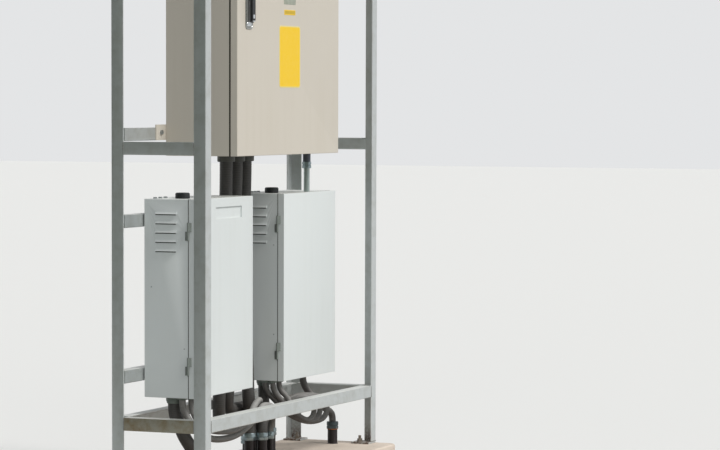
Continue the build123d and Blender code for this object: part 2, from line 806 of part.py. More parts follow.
# Lock rods behind the door, from the lock case to the lip
rod_high = cabinet_high - cabinet_lip_inset - rod_end_gap
rod_low = cabinet_low + cabinet_lip_inset + rod_end_gap
rod_start_high = spindle_z + case_height / 2 - rod_overlap
rod_start_low = spindle_z - case_height / 2 + rod_overlap
for rod_name, rod_from, rod_to in (
    ("lock_rod_upper", rod_start_high, rod_high),
    ("lock_rod_lower", rod_low, rod_start_low),
):
    with BuildPart() as rod:
        with BuildSketch(Plane.XY.offset(rod_from)):
            with Locations((handle_x, rod_front_y + rod_wall / 2)):
                Rectangle(rod_width, rod_wall)
        extrude(amount=rod_to - rod_from)
    save(rod.part, rod_name)

# Plain plates on the door: notice field, small tag and badge
with BuildPart() as door_plates:
    with BuildSketch(Plane.XZ.offset(-cabinet_face_y)):
        with Locations((0, cabinet_low + notice_rise + notice_height / 2)):
            Rectangle(notice_width, notice_height)
        with Locations((0, cabinet_low + tag_rise + tag_height / 2)):
            Rectangle(tag_width, tag_height)
        with Locations((0, cabinet_low + badge_rise + badge_height / 2)):
            Rectangle(badge_width, badge_height)
    extrude(amount=label_wall)
save(door_plates.part, "door_plates")

# Wall lugs behind the cabinet's four corners and their bolts
lug_parts = []
lug_bolt_parts = []
for side in (-1, 1):
    for lug_z in (lug_centre_low, lug_centre_high):
        bolt_x = side * (cabinet_width / 2 + lug_reach / 2)
        with BuildPart() as lug:
            with BuildSketch(Plane.XZ.offset(-cross_y)):
                with Locations((side * (cabinet_width / 2 + (lug_reach - lug_overlap) / 2), lug_z)):
                    Rectangle(lug_reach + lug_overlap, lug_height)
                with Locations((bolt_x, lug_z)):
                    Circle(lug_bolt_radius + bolt_clearance, mode=Mode.SUBTRACT)
            extrude(amount=lug_wall)
        lug_parts.append(lug.part)
        with BuildPart() as lug_bolt:
            with BuildSketch(Plane.XZ.offset(-(cross_y - lug_wall))):
                with Locations((bolt_x, lug_z)):
                    RegularPolygon(lug_bolt_flats / 2, 6, major_radius=False)
            extrude(amount=lug_bolt_head)
            with BuildSketch(Plane.XZ.offset(-(cross_y + leg_wall + 2 * lug_bolt_head))):
                with Locations((bolt_x, lug_z)):
                    Circle(lug_bolt_radius)
            extrude(amount=lug_wall + leg_wall + 2 * lug_bolt_head)
            with BuildSketch(Plane.XZ.offset(-(cross_y + leg_wall + lug_bolt_head))):
                with Locations((bolt_x, lug_z)):
                    RegularPolygon(lug_bolt_flats / 2, 6, major_radius=False)
            extrude(amount=lug_bolt_head)
        lug_bolt_parts.append(lug_bolt.part)
save(Compound(children=lug_parts), "cabinet_lugs")
save(Compound(children=lug_bolt_parts), "cabinet_lug_bolts")

# Mounting plate on its standoffs
with BuildPart() as mounting_plate:
    with BuildSketch(Plane.XZ.offset(-plate_back_y)):
        with Locations((0, cabinet_middle)):
            Rectangle(plate_width, plate_height)
    extrude(amount=plate_wall)
save(mounting_plate.part, "cabinet_mounting_plate")


# Top-hat rail on the mounting plate, open side to the front
def din_rail(height):
    half = din_rail_height / 2
    step = half - 4.0
    back = plate_face_y
    front = plate_face_y - din_rail_depth
    with BuildPart() as rail:
        with BuildSketch(Plane.YZ.offset(-din_rail_length / 2)):
            with BuildLine():
                Polyline(
                    (back, height - step), (back, height + step),
                    (front + din_rail_wall, height + step), (front + din_rail_wall, height + half),
                    (front, height + half), (front, height + step - din_rail_wall),
                    (back - din_rail_wall, height + step - din_rail_wall),
                    (back - din_rail_wall, height - step + din_rail_wall),
                    (front, height - step + din_rail_wall), (front, height - half),
                    (front + din_rail_wall, height - half), (front + din_rail_wall, height - step),
                    close=True)
            make_face()
        extrude(amount=din_rail_length)
    return rail.part


branch_z = cabinet_low + din_rail_rise
strip_z = cabinet_low + strip_rail_rise
save(Compound(children=[din_rail(branch_z), din_rail(strip_z)]), "cabinet_din_rails")

# Main breaker: case with a raised nose that the toggle stands in
main_z = cabinet_low + main_rise
main_face_y = plate_face_y - main_depth
main_pivot_y = main_face_y + toggle_radius
with BuildPart() as main_breaker:
    with BuildSketch(Plane.XZ.offset(-plate_face_y)):
        with Locations((0, main_z)):
            Rectangle(main_width, main_height)
    extrude(amount=main_depth * 0.8)
    with BuildSketch(Plane.XZ.offset(-(plate_face_y - main_depth * 0.8))):
        with Locations((0, main_z)):
            Rectangle(main_width, main_height * 0.5)
    extrude(amount=main_depth * 0.2)
    with BuildSketch(Plane.XZ.offset(-main_face_y)):
        with Locations((0, main_z)):
            Rectangle(main_toggle_width + 2 * seat_gap, main_height * 0.3)
    extrude(amount=-(toggle_radius * 2 + seat_gap), mode=Mode.SUBTRACT)
save(main_breaker.part, "main_breaker")


# Breaker toggle: drum across the slot with a lever standing up from it
def toggle(x, y, z, width, reach, radius, thickness):
    with BuildPart() as part:
        with BuildSketch(Plane.YZ.offset(x - width / 2)):
            with Locations((y, z)):
                Circle(radius - seat_gap)
            with BuildLine():
                Polyline(
                    (y, z - thickness / 2), (y - reach, z - thickness / 4 + reach * 0.45),
                    (y - reach, z + thickness / 4 + reach * 0.45), (y, z + thickness / 2), close=True)
            make_face()
        extrude(amount=width)
    return part.part


save(toggle(0, main_pivot_y, main_z, main_toggle_width, main_toggle_reach + toggle_radius, toggle_radius, 10.0),
     "main_toggle")

# Branch breakers clipped on the upper rail
branch_back_y = plate_face_y - din_rail_depth
branch_face_y = branch_back_y - branch_depth
branch_pivot_y = branch_face_y + toggle_radius
branch_xs = [branch_first + i * branch_pitch for i in range(2)]
branch_parts = []
for branch_x in branch_xs:
    with BuildPart() as branch:
        with BuildSketch(Plane.XZ.offset(-branch_back_y)):
            with Locations((branch_x, branch_z)):
                Rectangle(branch_width, branch_height)
        extrude(amount=branch_depth * 0.7)
        with BuildSketch(Plane.XZ.offset(-(branch_back_y - branch_depth * 0.7))):
            with Locations((branch_x, branch_z)):
                Rectangle(branch_width, branch_height * 0.55)
        extrude(amount=branch_depth * 0.3)
        with BuildSketch(Plane.XZ.offset(-branch_face_y)):
            with Locations((branch_x, branch_z)):
                Rectangle(toggle_width + 2 * seat_gap, branch_height * 0.5)
        extrude(amount=-(toggle_radius * 2 + seat_gap), mode=Mode.SUBTRACT)
    branch_parts.append(branch.part)
save(Compound(children=branch_parts), "branch_breakers")
for number, branch_x in enumerate(branch_xs):
    lever = toggle(branch_x, branch_pivot_y, branch_z, toggle_width, toggle_reach + toggle_radius, toggle_radius, 6.0)
    save(lever, "branch_toggle_" + str(number + 1))


# Comb-fronted terminal strip: a block with slots between its cells
def terminal_strip(x, z, back, width, height, depth, cells):
    with BuildPart() as strip:
        with BuildSketch(Plane.XZ.offset(-back)):
            with Locations((x, z)):
                Rectangle(width, height)
        extrude(amount=depth * 0.6)
        with BuildSketch(Plane.XZ.offset(-(back - depth * 0.6))):
            with Locations((x, z)):
                with GridLocations(width / cells, height, cells, 1):
                    Rectangle(width / cells - strip_slot, height * 0.8)
        extrude(amount=depth * 0.4)
    return strip.part


save(terminal_strip(0, strip_z, plate_face_y - din_rail_depth, strip_width, strip_height, strip_depth, strip_cells),
     "cabinet_terminals")

# Louvred boxes
box_middle = box_low + box_height / 2
box_rear_y = cross_y - lug_wall
box_depth = box_rear_y - box_seam_y
louvre_mid_y = box_seam_y + box_depth / 2


# Pressed louvre hoods on both sides: sloped sheet, closed ends, open below, slot in the wall
def cut_louvres(sheet, centre_x):
    with BuildPart() as part:
        add(sheet)
        for side in (-1, 1):
            wall_x = centre_x + side * box_width / 2
            with BuildSketch(Plane.XZ.offset(-(louvre_mid_y + louvre_length / 2))):
                for i in range(louvre_count):
                    top = box_high - louvre_inset - i * louvre_pitch
                    with BuildLine():
                        Polyline((wall_x, top), (wall_x + side * louvre_reach, top - louvre_drop),
                                 (wall_x, top - louvre_drop), close=True)
                    make_face()
            extrude(amount=louvre_length)
            with BuildSketch(Plane.XZ.offset(-(louvre_mid_y + louvre_length / 2 - louvre_sheet))):
                for i in range(louvre_count):
                    top = box_high - louvre_inset - i * louvre_pitch
                    inset = louvre_sheet * 1.4
                    slope_drop = louvre_sheet * louvre_drop / louvre_reach
                    with BuildLine():
                        Polyline(
                            (wall_x - side * 1.5 * box_wall, top - slope_drop),
                            (wall_x, top - slope_drop),
                            (wall_x + side * (louvre_reach - inset), top - louvre_drop),
                            (wall_x + side * (louvre_reach - inset), top - louvre_drop - 1.0),
                            (wall_x + side * 0.01, top - louvre_drop - 1.0),
                            (wall_x + side * 0.01, top - louvre_drop + 0.5),
                            (wall_x - side * 1.5 * box_wall, top - louvre_drop + 0.5), close=True)
                    make_face()
            extrude(amount=louvre_length - 2 * louvre_sheet, mode=Mode.SUBTRACT)
    return part.part


box_hinge_zs = (box_low + box_hinge_inset, box_high - box_hinge_inset)
box_lug_z = deck + (low_cross_top + mid_cross_top - leg) / 2
box_lug_spacing = mid_cross_top - low_cross_top
box_bolt_pitch = box_width - 2 * box_bolt_inset
cap_parts = []
plate_parts = []
strip_parts = []


# One louvred box: body, door, hinge pins, lock and cap
def louvred_box(prefix, centre_x, holes, top_holes, recessed):
    sheet = shell_body(centre_x, box_width, box_height, box_low, box_seam_y, box_rear_y, box_wall,
                       box_lip_inset, box_lip_height, holes)
    louvred = cut_louvres(sheet, centre_x)
    axis_x = centre_x - box_width / 2 - box_hinge_offset
    left_edge = centre_x - box_width / 2
    cap_spot = (left_edge + cap_inset, box_seam_y - box_door_depth + cap_depth)
    with BuildPart() as shell:
        add(louvred)
        with BuildSketch(Plane.XY.offset(box_high - box_wall)):
            for spot, radius in top_holes:
                with Locations(spot):
                    Circle(radius + bolt_clearance / 2)
            with Locations(cap_spot):
                Circle(cap_radius * 0.6 + bolt_clearance / 2)
        extrude(amount=box_wall, mode=Mode.SUBTRACT)
        for z in box_hinge_zs:
            with BuildSketch(Plane.XY.offset(z - box_knuckle_height)):
                with Locations((axis_x, box_seam_y)):
                    Circle(box_hinge_radius)
                with Locations((left_edge - box_hinge_offset / 2, box_seam_y + box_hinge_leaf / 2)):
                    Rectangle(box_hinge_offset, box_hinge_leaf)
            extrude(amount=box_knuckle_height)
            with BuildSketch(Plane.XY.offset(z)):
                with Locations((axis_x, box_seam_y)):
                    Circle(box_hinge_pin_radius)
            extrude(amount=box_knuckle_height)
        with BuildSketch(Plane.XZ.offset(-(box_rear_y - box_wall))):
            with Locations((centre_x, box_middle)):
                with GridLocations(box_width - 4 * plate_side_margin, box_height - 4 * plate_side_margin, 2, 2):
                    Circle(standoff_radius)
        extrude(amount=box_plate_standoff)
        with BuildSketch(Plane.XZ.offset(-cross_y)):
            with Locations((centre_x, box_lug_z)):
                with GridLocations(box_bolt_pitch, box_lug_spacing, 2, 2):
                    Rectangle(box_lug_width, box_lug_height)
        extrude(amount=lug_wall)
        with BuildSketch(Plane.XZ.offset(-cross_y)):
            with Locations((centre_x, box_lug_z)):
                with GridLocations(box_bolt_pitch, box_lug_spacing, 2, 2):
                    Circle(box_bolt_radius + bolt_clearance)
        extrude(amount=lug_wall + box_wall, mode=Mode.SUBTRACT)
    save(shell.part, prefix + "_box_shell")

    tray = door_tray(centre_x, box_width, box_height, box_low, box_seam_y, box_door_depth, box_wall)
    rim = box_seam_y - seam_gap
    lock_y = rim - (box_door_depth - seam_gap) / 2
    lock_z = box_middle
    with BuildPart() as door:
        add(tray)
        for z in box_hinge_zs:
            with BuildSketch(Plane.XY.offset(z + knuckle_gap)):
                with Locations((axis_x, box_seam_y)):
                    Circle(box_hinge_radius)
                with Locations((left_edge - box_hinge_offset / 2, rim - box_hinge_leaf / 2)):
                    Rectangle(box_hinge_offset, box_hinge_leaf)
                with Locations((axis_x, box_seam_y)):
                    Circle(box_hinge_pin_radius + running_clearance, mode=Mode.SUBTRACT)
            extrude(amount=box_knuckle_height)
        with BuildSketch(Plane.YZ.offset(centre_x + box_width / 2 - box_wall)):
            with Locations((lock_y, lock_z)):
                Circle(lock_radius + running_clearance)
        extrude(amount=box_wall, mode=Mode.SUBTRACT)
        if recessed:
            recess_x = centre_x + box_width / 2 - recess_side - recess_width / 2
            recess_z = box_high - recess_top - recess_height / 2
            with BuildSketch(Plane.XZ.offset(-(box_face_y + box_wall))):
                with Locations((recess_x, recess_z)):
                    Rectangle(recess_width + 2 * box_wall, recess_height + 2 * box_wall)
            extrude(amount=-recess_depth)
            with BuildSketch(Plane.XZ.offset(-box_face_y)):
                with Locations((recess_x, recess_z)):
                    Rectangle(recess_width, recess_height)
            extrude(amount=-recess_depth, mode=Mode.SUBTRACT)
    save(door.part, prefix + "_box_door")

    right_edge = centre_x + box_width / 2
    with BuildPart() as lock:
        with BuildSketch(Plane.YZ.offset(right_edge)):
            with Locations((lock_y, lock_z)):
                Circle(lock_radius + 2.0)
        extrude(amount=lock_head)
        with BuildSketch(Plane.YZ.offset(right_edge - box_wall - tongue_wall)):
            with Locations((lock_y, lock_z)):
                Circle(lock_radius)
        extrude(amount=box_wall + tongue_wall)
        tip_y = box_seam_y - rod_end_gap
        with BuildSketch(Plane.YZ.offset(right_edge - box_wall - 2 * tongue_wall)):
            with Locations(((lock_y + tip_y) / 2, lock_z)):
                Rectangle(tip_y - lock_y, lock_radius)
            with Locations((lock_y, lock_z)):
                Circle(tip_y - lock_y, mode=Mode.INTERSECT)
                Circle(lock_radius / 2)
        extrude(amount=tongue_wall)
    save(lock.part, prefix + "_box_lock")

    with BuildPart() as cap:
        with BuildSketch(Plane.XY.offset(box_high)):
            with Locations(cap_spot):
                Circle(cap_radius)
        extrude(amount=cap_height)
        fillet(cap.edges().group_by(Axis.Z)[-1], 3.0)
        with BuildSketch(Plane.XY.offset(box_high - box_wall - gland_neck)):
            with Locations(cap_spot):
                Circle(cap_radius * 0.6)
        extrude(amount=box_wall + gland_neck)
    cap_parts.append(cap.part)

    plate_back = box_rear_y - box_wall - box_plate_standoff
    with BuildPart() as plate:
        with BuildSketch(Plane.XZ.offset(-plate_back)):
            with Locations((centre_x, box_middle)):
                Rectangle(box_width - 2 * plate_side_margin, box_height - 2 * plate_side_margin)
        extrude(amount=plate_wall)
    plate_parts.append(plate.part)
    strip_parts.append(terminal_strip(centre_x, box_low + terminal_rise, plate_back - plate_wall, terminal_width,
                                      terminal_height, terminal_depth, terminal_cells))


louvred_box("left", left_box_x, left_box_holes, [], True)
louvred_box("right", right_box_x, right_box_holes, [(steel_spot, steel_pipe_radius)], False)

save(Compound(children=cap_parts), "box_caps")
save(Compound(children=plate_parts), "box_mounting_plates")
save(Compound(children=strip_parts), "box_terminals")

# Bolts through the backs of the boxes and the cross rails, head inside and nut behind
box_bolt_parts = []
for bolt_x in box_bolt_xs:
    for rail_top in (low_cross_top, mid_cross_top):
        bolt_z = deck + rail_top - leg / 2
        with BuildPart() as bolt:
            with BuildSketch(Plane.XZ.offset(-(box_rear_y - box_wall))):
                with Locations((bolt_x, bolt_z)):
                    RegularPolygon(box_bolt_flats / 2, 6, major_radius=False)
            extrude(amount=box_bolt_head)
            with BuildSketch(Plane.XZ.offset(-(cross_y + leg_wall + 2 * box_bolt_head))):
                with Locations((bolt_x, bolt_z)):
                    Circle(box_bolt_radius)
            extrude(amount=cross_y + leg_wall + 2 * box_bolt_head - box_rear_y + box_wall)
            with BuildSketch(Plane.XZ.offset(-(cross_y + leg_wall + box_bolt_head))):
                with Locations((bolt_x, bolt_z)):
                    RegularPolygon(box_bolt_flats / 2, 6, major_radius=False)
            extrude(amount=box_bolt_head)
        box_bolt_parts.append(bolt.part)
save(Compound(children=box_bolt_parts), "box_bolts")
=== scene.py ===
import json
from math import cos, pi, radians, sin

import bmesh
import bpy
from mathutils import Matrix, Vector


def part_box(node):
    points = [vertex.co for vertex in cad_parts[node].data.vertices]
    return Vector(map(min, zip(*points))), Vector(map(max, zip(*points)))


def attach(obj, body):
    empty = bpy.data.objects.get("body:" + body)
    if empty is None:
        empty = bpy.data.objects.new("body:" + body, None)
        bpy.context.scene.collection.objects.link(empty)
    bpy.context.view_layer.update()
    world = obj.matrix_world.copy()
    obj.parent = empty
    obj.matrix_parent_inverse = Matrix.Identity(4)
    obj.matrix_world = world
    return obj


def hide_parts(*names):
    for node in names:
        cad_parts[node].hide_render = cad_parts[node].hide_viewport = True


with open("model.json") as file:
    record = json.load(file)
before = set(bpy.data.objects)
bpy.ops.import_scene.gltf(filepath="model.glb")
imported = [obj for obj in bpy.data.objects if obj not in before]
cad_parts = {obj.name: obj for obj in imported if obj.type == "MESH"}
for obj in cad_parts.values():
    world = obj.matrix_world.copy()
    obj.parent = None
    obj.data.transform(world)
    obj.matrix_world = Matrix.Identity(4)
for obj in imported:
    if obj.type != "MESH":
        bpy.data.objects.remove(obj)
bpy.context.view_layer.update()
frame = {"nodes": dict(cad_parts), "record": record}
scene = bpy.context.scene
nodes = frame["nodes"]
MM = 0.001
BODIES = {name: body for body, names in frame["record"]["behaviour"]["bodies"].items() for name in names}

# Camera at the photograph's place, with its long lens
CAMERA_PLACE = (-11.6107, -5.2996, 1.6299)
CAMERA_YAW = 67.2922
CAMERA_PITCH = -3.6674
CAMERA_ROLL = 0.1801
FOCAL_PIXELS = 3138.74
PICTURE_WIDTH = 720.0
HORIZON_BELOW_CENTRE = 75.0


def photo_camera():
    yaw, pitch, roll = radians(CAMERA_YAW), radians(CAMERA_PITCH), radians(CAMERA_ROLL)
    forward = Vector((sin(yaw) * cos(pitch), cos(yaw) * cos(pitch), sin(pitch)))
    right = Vector((cos(yaw), -sin(yaw), 0.0))
    up = right.cross(forward)
    right, up = right * cos(roll) + up * sin(roll), up * cos(roll) - right * sin(roll)
    data = bpy.data.cameras.new("photo_camera")
    data.sensor_width = 36.0
    data.sensor_fit = "HORIZONTAL"
    data.lens = FOCAL_PIXELS / PICTURE_WIDTH * data.sensor_width
    data.shift_y = HORIZON_BELOW_CENTRE / PICTURE_WIDTH
    data.clip_end = 200.0
    camera = bpy.data.objects.new("photo_camera", data)
    turn = Matrix((right, up, -forward)).transposed().to_4x4()
    camera.matrix_world = Matrix.Translation(CAMERA_PLACE) @ turn
    scene.collection.objects.link(camera)
    scene.camera = camera


photo_camera()


# Colours, and the one function that adds a node with its settings and links
def linear(code):
    parts = [int(code[i:i + 2], 16) / 255 for i in (1, 3, 5)]
    return tuple(c / 12.92 if c <= 0.04045 else ((c + 0.055) / 1.055) ** 2.4 for c in parts) + (1.0,)


def add(tree, kind, inputs=None, **settings):
    made = tree.nodes.new(kind)
    for name, value in settings.items():
        setattr(made, name, value)
    for key, value in (inputs or {}).items():
        if isinstance(key, int):
            socket = made.inputs[key]
        else:
            socket = next(s for s in made.inputs if s.name == key and s.enabled)
        if isinstance(value, bpy.types.NodeSocket):
            tree.links.new(value, socket)
        else:
            socket.default_value = linear(value) if isinstance(value, str) else value
    return made


def start_material(name):
    material = bpy.data.materials.new(name)
    material.use_nodes = True
    tree = material.node_tree
    tree.nodes.clear()
    return material, tree


def finish_material(tree, shader):
    output = tree.nodes.new("ShaderNodeOutputMaterial")
    tree.links.new(shader.outputs[0], output.inputs["Surface"])


def object_points(tree, stretch=(1.0, 1.0, 1.0)):
    points = add(tree, "ShaderNodeTexCoord").outputs["Object"]
    return add(tree, "ShaderNodeMapping", {"Vector": points, "Scale": stretch}).outputs["Vector"]


def noise(tree, points, size_mm, detail, roughness=0.55):
    return add(tree, "ShaderNodeTexNoise", {
        "Vector": points, "Scale": 1.0 / (size_mm * MM), "Detail": detail,
        "Roughness": roughness}).outputs["Fac"]


def mix(tree, amount, first, second):
    made = add(tree, "ShaderNodeMix", {"Factor": amount, "A": first, "B": second}, data_type="RGBA")
    return next(s for s in made.outputs if s.type == "RGBA")


def math(tree, operation, first, second):
    return add(tree, "ShaderNodeMath", {0: first, 1: second}, operation=operation).outputs[0]


def product(tree, first, second):
    return math(tree, "MULTIPLY", first, second)


def bump(tree, height, depth_mm, strength):
    return add(tree, "ShaderNodeBump", {
        "Height": height, "Distance": depth_mm * MM, "Strength": strength}).outputs["Normal"]


def spread(tree, value, low, high, to_low, to_high):
    return add(tree, "ShaderNodeMapRange", {
        "Value": value, "From Min": low, "From Max": high,
        "To Min": to_low, "To Max": to_high}).outputs["Result"]


def height_above_ground(tree):
    return add(tree, "ShaderNodeSeparateXYZ", {"Vector": object_points(tree)}).outputs["Z"]


def facing(tree, axis):
    normal = add(tree, "ShaderNodeNewGeometry").outputs["Normal"]
    return add(tree, "ShaderNodeSeparateXYZ", {"Vector": normal}).outputs[axis]


PLASTIC_IOR = 1.5
RUST_FULL_BELOW = 162.0 * MM
RUST_NONE_ABOVE = 240.0 * MM
ANGLE_DUST = "#D9DAD5"


# Powder-coated sheet steel: even satin paint, a fine orange peel, soft clouds of weathering, dust on ledges
def powder_coat(name, colour, weathered, dust):
    material, tree = start_material(name)
    cloud = noise(tree, object_points(tree), 260.0, 3.0, 0.5)
    streaks = noise(tree, object_points(tree, (1.0, 1.0, 0.05)), 45.0, 4.0, 0.5)
    orange_peel = noise(tree, object_points(tree), 1.4, 2.0)
    faded = product(tree, spread(tree, streaks, 0.45, 0.8, 0.0, 0.5),
                    spread(tree, cloud, 0.35, 0.7, 0.1, 0.8))
    tint = mix(tree, faded, colour, weathered)
    ledge = product(tree, spread(tree, facing(tree, "Z"), 0.4, 0.9, 0.0, 0.5),
                    spread(tree, cloud, 0.3, 0.6, 0.5, 1.0))
    shader = add(tree, "ShaderNodeBsdfPrincipled", {
        "Base Color": mix(tree, ledge, tint, dust), "Roughness": spread(tree, cloud, 0.3, 0.7, 0.42, 0.52),
        "IOR": PLASTIC_IOR, "Normal": bump(tree, orange_peel, 0.04, 0.4)})
    finish_material(tree, shader)
    return material


# Rolled steel angle with a dull mill surface: fine drawing lines along the bar, faint stains, pale dust on
# the upper faces, rust at the feet that the rain keeps off the front faces
def rolled_angle(name, lines_along, colour, stain, stain_share, rust, metallic):
    material, tree = start_material(name)
    lines = noise(tree, object_points(tree, lines_along), 2.2, 3.0)
    mottle = noise(tree, object_points(tree), 46.0, 5.0, 0.6)
    base = mix(tree, spread(tree, mottle, 0.44, 0.72, 0.0, stain_share), colour, stain)
    near_foot = spread(tree, height_above_ground(tree), RUST_FULL_BELOW, RUST_NONE_ABOVE, 1.0, 0.0)
    spots = spread(tree, noise(tree, object_points(tree), 9.0, 6.0, 0.7), 0.36, 0.52, 0.0, 0.95)
    unwashed = spread(tree, facing(tree, "Y"), -0.9, -0.4, 0.15, 1.0)
    rusty = product(tree, product(tree, spots, near_foot), unwashed)
    ledge = product(tree, spread(tree, facing(tree, "Z"), 0.5, 0.95, 0.0, 0.8),
                    spread(tree, mottle, 0.3, 0.6, 0.7, 1.0))
    covered = math(tree, "MAXIMUM", rusty, ledge)
    shader = add(tree, "ShaderNodeBsdfPrincipled", {
        "Base Color": mix(tree, rusty, mix(tree, ledge, base, ANGLE_DUST), rust),
        "Metallic": spread(tree, covered, 0.0, 0.5, metallic, 0.0),
        "Roughness": spread(tree, lines, 0.3, 0.7, 0.44, 0.56), "Normal": bump(tree, lines, 0.03, 0.35)})
    finish_material(tree, shader)
    return material


# Zinc-plated or satin-chromed metal: cool grey, a fine grain and duller patches
def plated_metal(name, colour, worn, roughness, metallic=0.9, grain_mm=0.8):
    material, tree = start_material(name)
    patch = noise(tree, object_points(tree), 14.0, 4.0)
    shader = add(tree, "ShaderNodeBsdfPrincipled", {
        "Base Color": mix(tree, spread(tree, patch, 0.4, 0.75, 0.0, 0.6), colour, worn), "Metallic": metallic,
        "Roughness": spread(tree, patch, 0.3, 0.7, roughness - 0.06, roughness + 0.08),
        "Normal": bump(tree, noise(tree, object_points(tree), grain_mm, 3.0), 0.03, 0.3)})
    finish_material(tree, shader)
    return material


# Moulded plastic or rubber: even colour, a faint spark-eroded grain and dust that lies on its upper sides
def moulded(name, colour, dust, roughness):
    material, tree = start_material(name)
    patch = noise(tree, object_points(tree), 22.0, 4.0)
    grain = noise(tree, object_points(tree), 0.7, 2.0)
    dusty = product(tree, spread(tree, facing(tree, "Z"), -0.2, 0.9, 0.0, 0.35),
                    spread(tree, patch, 0.3, 0.65, 0.5, 1.0))
    shader = add(tree, "ShaderNodeBsdfPrincipled", {
        "Base Color": mix(tree, dusty, colour, dust),
        "Roughness": spread(tree, patch, 0.3, 0.7, roughness - 0.05, roughness + 0.08),
        "IOR": PLASTIC_IOR, "Normal": bump(tree, grain, 0.04, 0.3)})
    finish_material(tree, shader)
    return material


# PVC sheath of a flexible conduit: dark and smooth below, paler grey and chalky where the sun reaches it. The
# paler upward faces are partly real sun bleaching and partly painted light from above.
def conduit_sheath(name, colour, bleached_and_lit, share):
    material, tree = start_material(name)
    patch = noise(tree, object_points(tree), 30.0, 5.0, 0.6)
    rubbed = noise(tree, object_points(tree), 5.0, 4.0)
    chalk = noise(tree, object_points(tree), 1.2, 3.0)
    # Painted light on the upward faces, together with real sun bleaching
    sun = product(tree, spread(tree, facing(tree, "Z"), -0.55, 0.75, 0.0, share),
                  spread(tree, patch, 0.25, 0.6, 0.65, 1.0))
    scuffs = product(tree, spread(tree, rubbed, 0.58, 0.7, 0.0, 0.3), share)
    tint = mix(tree, scuffs, mix(tree, sun, colour, bleached_and_lit), bleached_and_lit)
    shader = add(tree, "ShaderNodeBsdfPrincipled", {
        "Base Color": tint, "Roughness": spread(tree, sun, 0.0, 0.8, 0.46, 0.64),
        "IOR": PLASTIC_IOR, "Normal": bump(tree, chalk, 0.06, 0.35)})
    finish_material(tree, shader)
    return material


# Cast concrete: warm pale grey, broad damp clouds, fine grit, soil splashed on its foot, small blow holes
def cast_concrete(name, damp, dry, grit_tint, soil, hole_tint):
    material, tree = start_material(name)
    cloud = noise(tree, object_points(tree), 240.0, 6.0, 0.6)
    grit = noise(tree, object_points(tree), 4.0, 4.0, 0.7)
    cells = add(tree, "ShaderNodeTexVoronoi", {
        "Vector": object_points(tree), "Scale": 1.0 / (34.0 * MM)}).outputs["Distance"]
    holes = spread(tree, cells, 0.03, 0.1, 1.0, 0.0)
    worn = mix(tree, spread(tree, cloud, 0.35, 0.7, 0.0, 1.0), damp, dry)
    gritty = mix(tree, spread(tree, grit, 0.55, 0.8, 0.0, 0.3), worn, grit_tint)
    splashed = spread(tree, height_above_ground(tree), 0.0, 60.0 * MM, 0.45, 0.0)
    soiled = mix(tree, product(tree, splashed, spread(tree, cloud, 0.3, 0.6, 0.4, 1.0)), gritty, soil)
    height = math(tree, "SUBTRACT", grit, holes)
    shader = add(tree, "ShaderNodeBsdfPrincipled", {
        "Base Color": mix(tree, holes, soiled, hole_tint), "Roughness": 0.88,
        "Normal": bump(tree, height, 1.0, 0.7)})
    finish_material(tree, shader)
    return material


STEEL = ("#C6CACA", "#AEB0AA", 0.5, "#583E2C", 0.7)
UPRIGHT_ANGLE = rolled_angle("mill_finish_angle_upright", (1.0, 1.0, 0.03), *STEEL)
LONG_ANGLE = rolled_angle("mill_finish_angle_long", (0.03, 1.0, 1.0), *STEEL)
SIDE_ANGLE = rolled_angle("mill_finish_angle_side", (1.0, 0.03, 1.0), *STEEL)
# A darker, browner and more mottled copy of the angle finish, used on the left bottom side rail
DARKER_BROWN_ANGLE = rolled_angle("stained_angle_side", (1.0, 0.05, 1.0),
                             "#918F82", "#79684B", 0.85, "#6A4028", 0.6)
BEIGE_COAT = powder_coat("beige_powder_coat", "#CFC8BC", "#C6BEAF", "#D6D0C2")
WHITE_COAT = powder_coat("grey_white_powder_coat", "#DBE0E0", "#CFD4D1", "#D6D6CE")
CONCRETE = cast_concrete("cast_concrete", "#C6B8AA", "#E0D2C4", "#A09486", "#7C6E5E", "#7F7468")
ZINC = plated_metal("zinc_plated_steel", "#A9AEB0", "#7F8486", 0.42)
BRIGHT_ZINC = plated_metal("bright_zinc_clamp", "#9CAAAE", "#6C7A7E", 0.32, 0.85)
SATIN_CHROME = plated_metal("satin_chromed_zinc", "#A6A8A6", "#8A8C8A", 0.32)
POLISHED = plated_metal("polished_chrome", "#D2D6D9", "#BFC4C8", 0.28)
GALVANISED_PIPE = plated_metal("galvanised_pipe", "#A5B1AE", "#8E9A97", 0.36, 0.6)
DULL_NIPPLE = plated_metal("dull_zinc_nipple", "#5B5F68", "#474B53", 0.4, 0.6)
ANCHOR_STEEL = plated_metal("weathered_anchor_steel", "#8C857C", "#6A4A34", 0.55, 0.5, 2.0)
WELD = plated_metal("weld_bead_steel", "#8F9190", "#6F675C", 0.5, 0.4)
SHEATH_DARK = conduit_sheath("sheath_pvc_shaded", "#353433", "#676562", 0.55)
SHEATH_COIL = conduit_sheath("sheath_pvc_weathered", "#424140", "#93918E", 0.8)
SHEATH_PALE = conduit_sheath("sheath_pvc_bleached", "#5C5B59", "#A5A4A1", 0.9)
GLAND_GREY = moulded("gland_nylon", "#4E4F4B", "#77766F", 0.5)
GLAND_PALE = moulded("box_gland_nylon", "#66706A", "#868C85", 0.45)
CLAMP_DARK = moulded("dark_sleeve_polyamide", "#3A474A", "#6C7678", 0.42)
ORANGE_RING = moulded("orange_seal_ring", "#A65A24", "#B5763F", 0.5)
CAP_BLACK = moulded("vent_cap_rubber", "#101417", "#2C343A", 0.55)
PIPE_BLACK = moulded("black_pipe_polyethylene", "#150D0E", "#3A2528", 0.42)
BLACK_COAT = moulded("handle_black_coat", "#0D1116", "#1E2429", 0.5)
RECESS_GREY = moulded("handle_recess_grey", "#7E7F7C", "#8C8D8A", 0.5)
